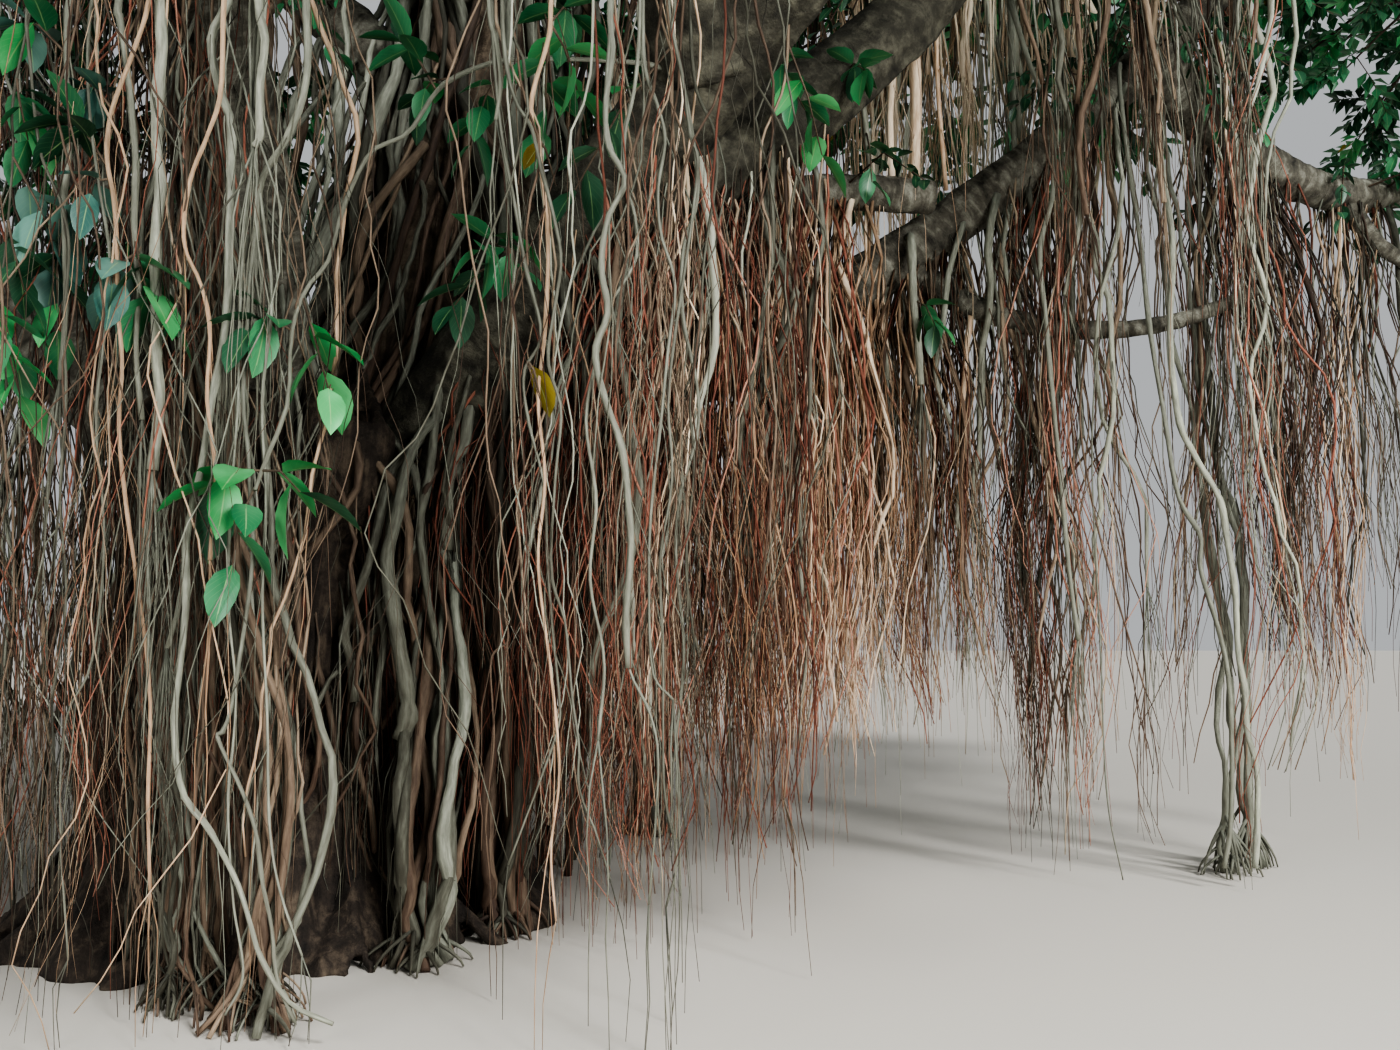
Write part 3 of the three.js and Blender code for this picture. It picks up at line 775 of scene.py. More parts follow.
def meshOfArrays(name, vertices, loops, starts, slots, mapName, uvs, skins):
    mesh = bpy.data.meshes.new(name)
    mesh.vertices.add(len(vertices))
    mesh.vertices.foreach_set("co", vertices.ravel())
    mesh.loops.add(len(loops))
    mesh.loops.foreach_set("vertex_index", loops)
    mesh.polygons.add(len(starts))
    mesh.polygons.foreach_set("loop_start", starts)
    mesh.polygons.foreach_set("material_index", slots)
    mesh.uv_layers.new(name=mapName).data.foreach_set("uv", uvs.ravel())
    mesh.update(calc_edges=True)
    for skin in skins:
        mesh.materials.append(materials[skin])
    piece = bpy.data.objects.new(name, mesh)
    bpy.context.collection.objects.link(piece)
    return piece


def tubeArrays(points, radii, skin, shade, youth, firstVertex):
    # one tube, closed at both ends and mapped in metres round and along
    points, radii = np.asarray(points, float), np.asarray(radii, float)
    count, sides = len(points), tubeSides(radii.max())
    ahead = np.gradient(points, axis=0)
    ahead /= np.linalg.norm(ahead, axis=1)[:, None]
    reference = np.eye(3)[np.abs(ahead).mean(axis=0).argmin()]
    across = np.cross(reference, ahead)
    across /= np.linalg.norm(across, axis=1)[:, None]
    up = np.cross(ahead, across)
    angles = 2 * math.pi * np.arange(sides) / sides
    ring = np.cos(angles)[None, :, None] * across[:, None, :]
    ring = ring + np.sin(angles)[None, :, None] * up[:, None, :]
    vertices = points[:, None, :] + ring * radii[:, None, None]
    vertices[:, :, 2] = np.maximum(vertices[:, :, 2], 0)  # nothing reaches below the ground
    index = firstVertex + np.arange(count * sides).reshape(count, sides)
    after = np.roll(index, -1, axis=1)
    quads = np.stack([index[:-1], after[:-1], after[1:], index[1:]], axis=-1).reshape(-1, 4)
    lengths = lengthsAlong(points)
    turn = np.arange(sides + 1) / sides * 2 * math.pi * radii.mean()
    u = np.stack([turn[:-1], turn[1:], turn[1:], turn[:-1]], axis=-1)
    u = np.broadcast_to(u, (count - 1, sides, 4))
    v = np.stack([lengths[:-1], lengths[:-1], lengths[1:], lengths[1:]], axis=-1)
    v = np.broadcast_to(v[:, None, :], (count - 1, sides, 4))
    caps = np.concatenate([index[0][::-1], index[-1]])
    capMap = np.stack([np.zeros(2 * sides), np.repeat([0, lengths[-1]], sides)], axis=-1)
    return dict(
        vertices=vertices.reshape(-1, 3), loops=np.concatenate([quads.ravel(), caps]),
        sizes=np.concatenate([np.full(len(quads), 4), [sides, sides]]),
        uvs=np.concatenate([np.stack([u, v], axis=-1).reshape(-1, 2), capMap]),
        slots=np.full(len(quads) + 2, skin), shade=np.repeat(np.broadcast_to(shade, count), sides),
        youth=np.repeat(np.linspace(youth[0], youth[1], count), sides))


def joinTubes(name, tubes, skins):
    # each tube: points, radii, skin, shade (one, or one for each point) and youth at its ends
    parts = []
    firstVertex = 0
    for tube in tubes:
        parts.append(tubeArrays(*tube, firstVertex))
        firstVertex += len(parts[-1]["vertices"])
    whole = {key: np.concatenate([part[key] for part in parts]) for key in parts[0]}
    starts = np.concatenate([[0], np.cumsum(whole["sizes"])[:-1]])
    piece = meshOfArrays(name, whole["vertices"], whole["loops"], starts, whole["slots"], "rootMap",
                         whole["uvs"], skins)
    mesh = piece.data
    mesh.polygons.foreach_set("use_smooth", np.ones(len(starts), bool))
    for key in ("shade", "youth"):
        mesh.attributes.new(key, "FLOAT", "POINT").data.foreach_set("value", whole[key])
    mesh.validate()
    return piece


# hanging roots: hanks of single roots under each bough, forked and fringed towards their tips

# the fourth skin is painted sunlight, a lit copy of the root skin
rootSkins = ["maroonRoot", "brownRoot", "greyRoot", "sunlitRoot"]
maroon, brown, grey = range(3)  # places in the list
hangLook = {
    "seed": 200,
    "step": 0.15,  # metres between bends
    "kink": 0.017,  # how far it strays at each bend
    "keeps": 0.6,  # of the slope of the bend before
    "lumps": 0.14,
    "thick": (0.011, 0.024),
    "middle": (0.0055, 0.01),
    "fine": (0.0026, 0.0048),
    "thinnest": 0.0014,
    "hankWidth": 0.11,
    "hankAcross": 0.85,  # of the bough's radius
    "tightness": (0.25, 0.8),  # width of a hank halfway down, as a share of that at its top
    "closing": 2.5,  # how soon it closes up, and how far its tips part again
    "parting": 0.3,
    "twist": 2.6,  # radians, from top to ground
    "sway": 0.022,
    "swaySteps": 26,
    "lean": 0.09,
    "footScatter": 0.3,
    "shortest": 0.4,
    "stops": 0.6,  # share of the thick roots that stop higher up, where, and the roots in their brush
    "stopsAt": (0.25, 0.85),
    "brush": (5, 12),
    "taper": 0.3,
    "stoppedTaper": 0.65,
    "ownSkin": 0.6,  # share of a hank's roots that have the hank's skin
    "forkFrom": (0.35, 0.95),  # along the root
    "forkLength": (0.3, 1.1),
    "forkSpread": 0.07,
    "forkKink": 0.013,
    "shortestFork": 0.12,
    "brushLength": (0.35, 1.3),
    "brushSpread": 0.05,
    "brushSwell": 1.3,
    "shade": {"thick": 0.58, "middle": 0.46, "fine": 0.32},
    "hankShade": 0.16,  # how much hanks differ, and roots in one
    "rootShade": 0.13,
    "sunHeight": 2.4,  # where the painted sunlight and shade of sunLow add nothing, and metres over which they come in
    "sunFade": 1.2,
}


def wanderSideways(count, kink, random):
    bends = random.normal(0, kink, (count, 2))
    slopes = bends.copy()
    for k in range(1, count):
        slopes[k] += hangLook["keeps"] * slopes[k - 1]
    offset = np.cumsum(slopes, axis=0)
    offset -= offset[0]
    share = np.linspace(0, 1, count)[:, None]
    return offset - share * offset[-1]


def lumpy(radii, lumps, random):
    return radii * (1 + lumps * random.uniform(-1, 1, len(radii)))


def hangingRoot(top, tip, thickness, tipThickness, random):
    length = top[2] - tip[2]
    count = max(5, int(length / hangLook["step"]))
    share = np.linspace(0, 1, count)
    drift = 1 - (1 - share) ** 1.8
    points = np.empty((count, 3))
    points[:, 0] = mix(top[0], tip[0], drift)
    points[:, 1] = mix(top[1], tip[1], drift)
    points[:, 2] = mix(top[2], tip[2], share)
    points[:, :2] += wanderSideways(count, hangLook["kink"] * random.uniform(0.5, 1.6), random)
    return points, lumpy(mix(thickness, tipThickness, share), hangLook["lumps"], random)


def forkOf(points, radii, first, length, spread, thickness, random):
    # a thinner root that leaves sideways at a bend and turns down
    start = points[first]
    length = min(length, start[2] - 0.02)
    if length < hangLook["shortestFork"]:
        return None
    count = max(4, int(length / hangLook["step"]))
    share = np.linspace(0, 1, count)
    side = random.normal(0, spread, 2) * length**0.5
    path = np.empty((count, 3))
    path[:, :2] = start[:2] + side * (1 - (1 - share[:, None]) ** 2.2)
    path[:, 2] = start[2] - length * share**1.12
    path[:, :2] += wanderSideways(count, hangLook["forkKink"], random)
    return path, mix(min(thickness, radii[first] * 0.8), hangLook["thinnest"], share)


def rootAndForks(points, radii, skin, shade, forks, brush, youth, random):
    # the root itself, thin forks along its lower half and a brush of young roots where it stops
    tubes = [(points, radii, skin, shade, (0.0, youth * 0.6))]
    last = len(points) - 1
    for _ in range(forks):
        first = int(random.uniform(*hangLook["forkFrom"]) * last)
        length = random.uniform(*hangLook["forkLength"])
        thickness = random.uniform(*hangLook["fine"])
        fork = forkOf(points, radii, first, length, hangLook["forkSpread"], thickness, random)
        if fork:
            tubes.append((*fork, skin, shade - 0.08, (0.1, youth)))
    for _ in range(brush):
        length = random.uniform(*hangLook["brushLength"])
        thickness = random.uniform(*hangLook["fine"]) * hangLook["brushSwell"]
        fork = forkOf(points, radii, last, length, hangLook["brushSpread"], thickness, random)
        if fork:
            tubes.append((*fork, skin, shade - 0.12, (0.0, youth)))
    return tubes


# rails: limb, from and to as shares of it, and number of hanks; swell: of every thickness; step: metres
# between bends; tone: lighter or darker, partly painted sunlight on the curtains at the right; sunLow:
# painted sunlight low down and painted shade high up; tips: heights in metres; sizes: shares of
# thick and middling roots, the rest are fine; skins: shares of the four kinds
nearCurtain = dict(swell=1.15, step=0.17, forks=3)
farCurtain = dict(swell=1.5, step=0.22, roots=(7, 12), sizes=(0.15, 0.4), forks=2, youth=0.2)
highCurtain = dict(swell=1.5, step=0.2, roots=(7, 12), sizes=(0.2, 0.45), forks=1, solid=False)
curtains = {
    "front_left_curtain": dict(
        rails=[("front_left_bough", 0.12, 0.45, 11), ("front_left_side", 0.1, 1.0, 6),
               ("front_left_outer", 0.05, 1.0, 12)],
        swell=0.8, step=0.12, tone=0.09, tips=(0.02, 0.8), roots=(8, 15), sizes=(0.03, 0.42),
        skins=(0.1, 0.42, 0.44, 0.04), forks=2, youth=0.15),
    "front_curtain": dict(
        rails=[("front_bough", 0.16, 0.36, 3), ("front_side", 0.45, 0.72, 4),
               ("front_outer", 0.05, 0.75, 4)],
        swell=0.85, step=0.12, tone=0.12, lean=0.045, tips=(0.4, 1.0), roots=(4, 8), sizes=(0.0, 0.55),
        skins=(0.12, 0.33, 0.5, 0.05), forks=2, youth=0.25),
    "main_curtain": dict(
        rails=[("main_bough", 0.13, 0.3, 12), ("main_bough", 0.3, 0.45, 18)],
        swell=1.1, step=0.13, tone=0.23, tips=(0.2, 0.8), roots=(10, 17), sizes=(0.05, 0.33),
        skins=(0.6, 0.24, 0.14, 0.02), forks=3, youth=0.25),
    "right_curtain": dict(
        nearCurtain, rails=[("right_bough", 0.0, 0.24, 18)], step=0.15, tone=0.12, tips=(0.3, 1.0),
        roots=(10, 17), sizes=(0.06, 0.36), skins=(0.45, 0.25, 0.15, 0.15), youth=0.4),
    # the cross, low right and outermost curtains get painted sunlight: a raised tone, sunLow and many roots
    # in the lit cream skin
    "cross_curtain": dict(
        rails=[("cross_bough", 0.15, 0.62, 20), ("cross_bough", 0.62, 0.86, 16)],
        swell=1.3, step=0.16, tone=0.3, sunLow=0.27, tips=(0.6, 1.4), roots=(10, 17), sizes=(0.08, 0.36),
        skins=(0.3, 0.15, 0.1, 0.45), forks=3, youth=0.45),
    "low_right_curtain": dict(
        nearCurtain, rails=[("low_right_bough", 0.4, 0.6, 28)], swell=1.25, tone=0.28, sunLow=0.24,
        tips=(0.7, 1.3), roots=(9, 16), sizes=(0.06, 0.34), skins=(0.27, 0.25, 0.16, 0.32), youth=0.4),
    "outer_right_curtain": dict(
        nearCurtain, rails=[("low_right_bough", 0.63, 0.73, 13), ("low_right_bough", 0.76, 0.84, 2),
                            ("low_right_bough", 0.87, 0.92, 2)],
        tone=0.2, lean=0.05, tips=(0.15, 1.4), roots=(8, 14), sizes=(0.08, 0.4),
        skins=(0.2, 0.4, 0.36, 0.04), youth=0.25),
    "far_right_curtain": dict(
        nearCurtain, rails=[("far_right_bough", 0.16, 0.3, 12), ("far_right_bough", 0.44, 0.49, 3),
                            ("far_right_bough", 0.64, 0.8, 2)],
        tone=0.03, tips=(1.0, 1.9), roots=(10, 17), sizes=(0.05, 0.38), skins=(0.12, 0.53, 0.3, 0.05),
        youth=0.22),
    "left_curtain": dict(
        nearCurtain, rails=[("left_bough", 0.1, 0.56, 22), ("left_side", 0.1, 1.0, 10)], tips=(0.05, 0.8),
        roots=(8, 14), sizes=(0.08, 0.4), skins=(0.2, 0.42, 0.36, 0.02), forks=2, youth=0.2),
    "back_left_curtain": dict(
        farCurtain, rails=[("back_left_bough", 0.12, 0.58, 20)], tips=(0.1, 0.8),
        skins=(0.25, 0.45, 0.28, 0.02)),
    "back_curtain": dict(
        farCurtain, rails=[("back_bough", 0.12, 0.58, 20)], tips=(0.1, 0.9),
        skins=(0.3, 0.45, 0.23, 0.02)),
    "back_right_curtain": dict(
        farCurtain, rails=[("back_right_bough", 0.14, 0.6, 20)], tips=(0.2, 1.0),
        skins=(0.3, 0.45, 0.23, 0.02), youth=0.25),
    # higher up, with no solid of its own: these end on the boughs below
    "upper_right_curtain": dict(
        highCurtain, rails=[("crown_right_bough", 0.1, 0.8, 10)], tone=0.1, tips=(3.6, 4.2),
        skins=(0.1, 0.3, 0.3, 0.3), youth=0.15),
    # painted sunlight: a high tone, with the lit cream skin on most of its roots
    "sunlit_curtain": dict(
        highCurtain, rails=[("back_side", 0.12, 0.9, 24)], swell=1.7, tone=0.45, tips=(4.2, 5.0),
        skins=(0.0, 0.1, 0.3, 0.6), youth=0.1),
    "over_limb_curtain": dict(
        nearCurtain, rails=[("right_side", 0.16, 0.45, 6), ("right_side", 0.45, 0.8, 6)], tone=0.04,
        tips=(3.0, 4.8), roots=(5, 9), sizes=(0.25, 0.4), skins=(0.05, 0.35, 0.55, 0.05), forks=2,
        youth=0.15, solid=False),
    "outermost_curtain": dict(
        nearCurtain, rails=[("far_right_bough", 0.45, 0.48, 2)], swell=1.2, tone=0.3, tips=(0.3, 0.8),
        roots=(9, 13), sizes=(0.06, 0.4), skins=(0.0, 0.3, 0.1, 0.6), forks=4, youth=0.5, solid=False),
}


def hankUnder(limbName, share, look, random):
    # a hank sways as one; its roots close up below the bough, turn round each other and part at the tips
    path = lines[limbName]
    middle = pointOn(path, share)
    along = directionOn(path, share)
    across = np.array([-along[1], along[0], 0.0]) / math.hypot(along[0], along[1])
    radius = limbRadius(limbs[limbName], share)
    lowest = mix(*look["tips"], random.random() ** 1.3)
    lean = random.normal(0, look.get("lean", hangLook["lean"]), 2)
    sway = wanderSideways(hangLook["swaySteps"], hangLook["sway"], random)
    swayShares = np.linspace(0, 1, hangLook["swaySteps"])
    tightness = random.uniform(*hangLook["tightness"])
    ownSkin = random.choice(4, p=look["skins"])
    ownShade = random.normal(0, hangLook["hankShade"])
    tubes = []
    for _ in range(random.randint(*look["roots"])):
        aside = random.uniform(-hangLook["hankAcross"], hangLook["hankAcross"]) * radius
        top = middle + along * random.normal(0, hangLook["hankWidth"]) + across * aside
        top[2] -= math.sqrt(radius**2 - aside**2) * 0.7
        foot = lowest + abs(random.normal(0, hangLook["footScatter"]))
        foot = min(foot, top[2] - hangLook["shortest"])
        draw = random.random()
        kind = "thick" if draw < look["sizes"][0] else "middle" if draw < sum(look["sizes"]) else "fine"
        thickness = random.uniform(*hangLook[kind]) * look["swell"]
        stops = kind == "thick" and random.random() < hangLook["stops"]
        if stops:
            foot = mix(top[2], foot, random.uniform(*hangLook["stopsAt"]))
        count = max(6, int((top[2] - foot) / look["step"]))
        down = np.linspace(0, 1, count)
        heights = mix(top[2], foot, down)
        fallen = (top[2] - heights) / middle[2]
        turn = random.normal(0, hangLook["twist"]) * fallen
        closed = 1 - (1 - tightness) * np.minimum(1, fallen * hangLook["closing"])
        closed = closed + hangLook["parting"] * fallen**3
        offset = (top - middle)[:2]
        points = np.empty((count, 3))
        points[:, 0] = middle[0] + (offset[0] * np.cos(turn) - offset[1] * np.sin(turn)) * closed
        points[:, 1] = middle[1] + (offset[0] * np.sin(turn) + offset[1] * np.cos(turn)) * closed
        for axis in (0, 1):
            points[:, axis] += lean[axis] * fallen + np.interp(fallen, swayShares, sway[:, axis])
        points[:, 2] = heights
        bend = hangLook["kink"] * random.uniform(0.5, 2.0) * (look["step"] / 0.17) ** 0.5
        points[:, :2] += wanderSideways(count, bend, random)
        taper = hangLook["stoppedTaper" if stops else "taper"]
        radii = lumpy(mix(thickness, thickness * taper, down), hangLook["lumps"], random)
        skin = ownSkin if random.random() < hangLook["ownSkin"] else random.choice(4, p=look["skins"])
        if kind == "thick" and skin == maroon:  # only thin roots are maroon
            skin = grey
        shade = hangLook["shade"][kind] + ownShade + look.get("tone", 0)
        shade = shade + random.normal(0, hangLook["rootShade"])
        brush = random.randint(*hangLook["brush"]) if stops else 0
        forks = look["forks"] if kind == "thick" else random.randint(0, look["forks"] + 1)
        tubes += rootAndForks(points, radii, skin, shade, forks, brush, look["youth"], random)
    return tubes


def makeCurtain(name, look, seed):
    random = np.random.RandomState(seed)
    tubes = []
    for limbName, first, last, hanks in look["rails"]:
        for hank in range(hanks):
            share = mix(first, last, (hank + random.uniform(0.1, 0.9)) / hanks)
            for points, radii, skin, shade, youth in hankUnder(limbName, share, look, random):
                # painted sunlight on the lower stretch of each root, painted shade on its upper stretch, by
                # sunLow
                low = np.clip((hangLook["sunHeight"] - points[:, 2]) / hangLook["sunFade"], -1, 1)
                tubes.append((points, radii, skin, shade + look.get("sunLow", 0) * low, youth))
    piece = joinTubes(name + "_roots", tubes, rootSkins)
    finishPiece(piece, [name] if look.get("solid", True) else [])


for i, (curtainName, curtain) in enumerate(curtains.items()):
    makeCurtain(curtainName, curtain, hangLook["seed"] + i)
print("curtains made")


# wall of thick roots that come down round the fork and melt into the trunk, or go on to the ground

# limb, from and to as shares of it, number of roots
wallRails = [
    ("crown_left_bough", 0.02, 0.5, 34), ("leader", 0.28, 0.5, 16), ("crown_front_bough", 0.03, 0.3, 12),
    ("crown_back_bough", 0.03, 0.35, 14), ("crown_right_bough", 0.03, 0.3, 12),
    ("front_left_bough", 0.05, 0.2, 12), ("back_left_bough", 0.05, 0.2, 10), ("left_bough", 0.04, 0.2, 12),
    ("back_bough", 0.05, 0.2, 8), ("back_right_bough", 0.05, 0.25, 10),
]
# thick: range of radii; bias: how much thin roots outnumber thick ones; tops, feet: heights, or shares of
# the leader; out: clear of the bark; skins: shares of the four kinds
wallLook = {
    "seed": 31,
    "underBoughs": dict(thick=(0.014, 0.042), bias=2, scatter=0.3, trunkTop=2.3, sway=0.02,
                        skins=(0, 0.3, 0.7, 0), shade=0.48, shadeSpread=0.15, forks=2, youth=0.1),
    "onLeader": dict(count=90, thick=(0.014, 0.042), bias=3, tops=(0.3, 0.75), foot=0.04, steps=26,
                     out=(1.0, 1.5), sway=0.025, lumps=0.15,
                     skins=(0, 0.3, 0.7, 0), shade=0.5, shadeSpread=0.15, forks=2, youth=0.1),
    "onTrunk": dict(count=190, thick=(0.005, 0.03), bias=2, tops=(1.3, 2.75), feet=(0.0, 0.8), step=0.11,
                    out=(0.0, 0.2), sway=0.03, lumps=0.2, sunkTop=0.04, topRadii=(0.4, 0.75),
                    skins=(0, 0.6, 0.4, 0), shade=0.5, shadeSpread=0.14, forks=3, brush=(0, 4), youth=0.2),
    # hang free of the trunk, over the dark side of it that the photograph shows
    "inFront": dict(count=80, thick=(0.004, 0.014), bias=2, tops=(1.8, 2.6), feet=(0.1, 0.9), step=0.12,
                    angles=(-2.4, -0.1), out=(0.0, 0.12), sway=0.018, sunkTop=0.1,
                    skins=(0.3, 0.4, 0.3, 0), shade=0.55, shadeSpread=0.14, forks=3, brush=(0, 3),
                    youth=0.2),
}


def wallRoot(points, radii, look, random):
    skin = random.choice(4, p=look["skins"])
    shade = look["shade"] + random.normal(0, look["shadeSpread"])
    brush = random.randint(*look["brush"]) if "brush" in look else 0
    return rootAndForks(np.array(points), radii, skin, shade, look["forks"], brush, look["youth"], random)


def rootsUnderBoughs(look, random):
    tubes = []
    for limbName, first, last, count in wallRails:
        for i in range(count):
            top = pointOn(lines[limbName], mix(first, last, (i + random.random()) / count))
            tip = top.copy()
            tip[:2] += random.normal(0, look["scatter"], 2)
            overTrunk = math.hypot(tip[0], tip[1]) < trunk["shoulderRadius"]
            tip[2] = look["trunkTop"] if overTrunk else 0.0
            thickness = mix(*look["thick"], random.random() ** look["bias"])
            points, radii = hangingRoot(top, tip, thickness, thickness * random.uniform(0.6, 1.1), random)
            points[:, :2] += wanderSideways(len(points), look["sway"], random)
            tubes += wallRoot(points, radii, look, random)
    return tubes


def rootsOnLeader(look, random):  # run down the leader and hang off it
    tubes = []
    for i in range(look["count"]):
        angle = random.uniform(0, 2 * math.pi)
        top = random.uniform(*look["tops"])
        thickness = mix(*look["thick"], random.random() ** look["bias"])
        out = random.uniform(*look["out"])
        sway = wanderSideways(look["steps"], look["sway"], random)
        points = []
        for share, (turn, aside) in zip(np.linspace(top, look["foot"], look["steps"]), sway):
            here = angle + 0.9 * turn + 0.1 * math.sin(9 * share + i)
            away = limbRadius(boughs["leader"], share) * out + aside + thickness
            around = np.array([math.cos(here), math.sin(here), 0])
            points.append(pointOn(lines["leader"], share) + around * away)
        radii = lumpy(np.full(look["steps"], thickness), look["lumps"], random)
        tubes += wallRoot(points, radii, look, random)
    return tubes


def rootsOnTrunk(look, random):
    tubes = []
    for i in range(look["count"]):
        angle = 2 * math.pi * (i + random.random()) / look["count"]
        high, low = random.uniform(*look["tops"]), random.uniform(*look["feet"])
        thickness = mix(*look["thick"], random.random() ** look["bias"])
        count = max(6, int((high - low) / look["step"]))
        sway = wanderSideways(count, look["sway"], random)
        out = thickness + random.uniform(*look["out"])
        points = []
        for k, height in enumerate(np.linspace(high, low, count)):
            here = angle + 0.14 * math.sin(2 * height + i) + sway[k, 0]
            away = trunkRadius(height) * 1.02 + out * math.sin(math.pi * min(1, 0.1 + k / count))
            away -= (3 * thickness + look["sunkTop"]) * max(0, 1 - k / 2)
            points.append(trunkPlace(height, here, away + sway[k, 1]))
        radii = lumpy(mix(thickness, thickness * 0.5, np.linspace(0, 1, count)), look["lumps"], random)
        radii[:2] *= look["topRadii"]
        tubes += wallRoot(points, radii, look, random)
    return tubes


def rootsInFront(look, random):
    tubes = []
    for _ in range(look["count"]):
        angle = random.uniform(*look["angles"])
        high, low = random.uniform(*look["tops"]), random.uniform(*look["feet"])
        thickness = mix(*look["thick"], random.random() ** look["bias"])
        count = max(8, int((high - low) / look["step"]))
        sway = wanderSideways(count, look["sway"], random)
        clear = trunkRadius(high) + random.uniform(*look["out"])
        points = []
        for k, height in enumerate(np.linspace(high, low, count)):
            away = max(clear, trunkRadius(height)) + thickness + sway[k, 1]
            away -= look["sunkTop"] * max(0, 1 - k / 2)
            points.append(trunkPlace(height, angle + sway[k, 0], away))
        radii = mix(thickness, thickness * 0.4, np.linspace(0, 1, count))
        tubes += wallRoot(points, radii, look, random)
    return tubes


def makeWall():
    random = np.random.RandomState(wallLook["seed"])
    tubes = rootsUnderBoughs(wallLook["underBoughs"], random)
    tubes += rootsOnLeader(wallLook["onLeader"], random)
    tubes += rootsOnTrunk(wallLook["onTrunk"], random)
    tubes += rootsInFront(wallLook["inFront"], random)
    piece = joinTubes("fork_wall_roots", tubes, rootSkins)
    finishPiece(piece)


makeWall()


# pillar roots: hanks that have reached the ground, twisted together and splayed at the foot

pillars = {
    "main_pillar": dict(foot=(1.29, -0.52), bough="main_bough", share=0.27, radius=(0.075, 0.1)),
    "trunk_pillar": dict(foot=(0.98, -1.02), bough="main_bough", share=0.2, radius=(0.07, 0.1)),
    "front_pillar": dict(foot=(0.52, -1.86), bough="front_left_bough", share=0.32, radius=(0.06, 0.11)),
    "inner_front_pillar": dict(foot=(0.16, -1.62), bough="front_left_bough", share=0.24,
                               radius=(0.05, 0.09)),
    "right_pillar": dict(foot=(5.69, 0.92), bough="far_right_bough", share=0.03, radius=(0.03, 0.05)),
    "far_right_pillar": dict(foot=(5.95, 1.08), bough="far_right_bough", share=0.12, radius=(0.035, 0.055)),
    "left_pillar": dict(foot=(-2.5, -0.5), bough="left_bough", share=0.36, radius=(0.09, 0.14)),
    "back_left_pillar": dict(foot=(-1.75, 2.1), bough="back_left_bough", share=0.4, radius=(0.08, 0.13)),
    "back_pillar": dict(foot=(0.1, 2.9), bough="back_bough", share=0.4, radius=(0.09, 0.14)),
    "back_right_pillar": dict(foot=(1.9, 2.35), bough="back_right_bough", share=0.42, radius=(0.08, 0.12)),
}

# thick: of each strand, as a share of the pillar's radius; loose: how far out they lie; feet: side roots at
# the ground from each strand, and the height they start below
pillarLook = {
    "column": dict(roots=17, thick=(0.15, 0.34), loose=1.0, splay=0.14, forks=3, shade=0.38,
                   feet=3, feetFrom=0.16),
    "slim": dict(roots=2, thick=(0.4, 0.55), loose=0.95, splay=0.05, forks=1, shade=0.6,
                 feet=12, feetFrom=0.4),
    "bundle": dict(roots=20, thick=(0.07, 0.17), loose=1.3, splay=0.16, forks=3, shade=0.56,
                   feet=3, feetFrom=0.2),
    "seed": 70,
    "splayHeight": 0.14,
    "step": 0.12,
    "footLevels": (0.4, 0.01, 8),  # from, to and number of closer steps near the ground
    "sway": 0.012,
    "twist": 3,  # radians either way, from foot to top
    "lumps": 0.16,
    "shadeSpread": 0.12,
    "youth": 0.15,
}
pillarKinds = {"front_pillar": "bundle", "inner_front_pillar": "bundle", "right_pillar": "slim",
               "far_right_pillar": "slim"}
footRootLook = dict(steps=6, reach=(0.05, 0.2), thickest=0.013, tip=0.005, tipHeight=0.006)


def pillarLine(pillar):
    foot = np.array([*pillar["foot"], 0.0])
    top = pointOn(lines[pillar["bough"]], pillar["share"])
    points = [foot, foot.copy(), mix(foot, top, 0.45), mix(foot, top, 0.85), top]
    for k, point in enumerate(points[:4]):
        point[2] = top[2] * k / 4
    return np.array(points)


def pillarStrands(pillar, look, random):
    path = pillarLine(pillar)
    height = path[-1][2]
    levels = np.linspace(height, 0.5, int(height / pillarLook["step"]))
    levels = np.concatenate([levels, np.linspace(*pillarLook["footLevels"])])
    strands = []
    for k in range(look["roots"]):
        angle = 2 * math.pi * k / look["roots"] + random.uniform(-0.3, 0.3)
        twist = random.uniform(-pillarLook["twist"], pillarLook["twist"])
        phase = random.uniform(0, 6.28)
        share = random.uniform(*look["thick"])
        reach = random.uniform(0.2, 1.0) * look["splay"]
        sway = wanderSideways(len(levels), pillarLook["sway"], random)
        points, radii = [], []
        for z, aside in zip(levels, sway):
            up = z / height
            radius = mix(pillar["radius"][1], pillar["radius"][0], up)
            here = angle + twist * up + 0.5 * math.sin(1.9 * z + phase)
            away = radius * (look["loose"] - share) * (0.7 + 0.3 * math.sin(2.7 * z + phase * 2))
            away += reach * math.exp(-z / pillarLook["splayHeight"])
            spot = pointOn(path, up) + np.array([math.cos(here), math.sin(here), 0]) * away
            points.append([spot[0] + aside[0], spot[1] + aside[1], z])
            radii.append(radius * share * (1 + pillarLook["lumps"] * math.sin(9 * z + phase)))
        strands.append((np.array(points), np.array(radii)))
    return strands


def footRoots(points, radii, skin, shade, look, random):
    # short roots that leave a strand near the ground and run outwards into it
    tubes = []
    for _ in range(look["feet"]):
        first = np.abs(points[:, 2] - random.uniform(0.1, look["feetFrom"])).argmin()
        start = points[first]
        heading = random.uniform(0, 2 * math.pi)
        reach = random.uniform(*footRootLook["reach"])
        share = np.linspace(0, 1, footRootLook["steps"])
        path = np.empty((footRootLook["steps"], 3))
        path[:, 0] = start[0] + math.cos(heading) * reach * (1 - (1 - share) ** 1.6)
        path[:, 1] = start[1] + math.sin(heading) * reach * (1 - (1 - share) ** 1.6)
        path[:, 2] = mix(start[2], footRootLook["tipHeight"], share)
        thickness = min(radii[first] * 0.6, footRootLook["thickest"])
        tubes.append((path, mix(thickness, footRootLook["tip"], share), skin, shade - 0.1, (0.0, 0.1)))
    return tubes


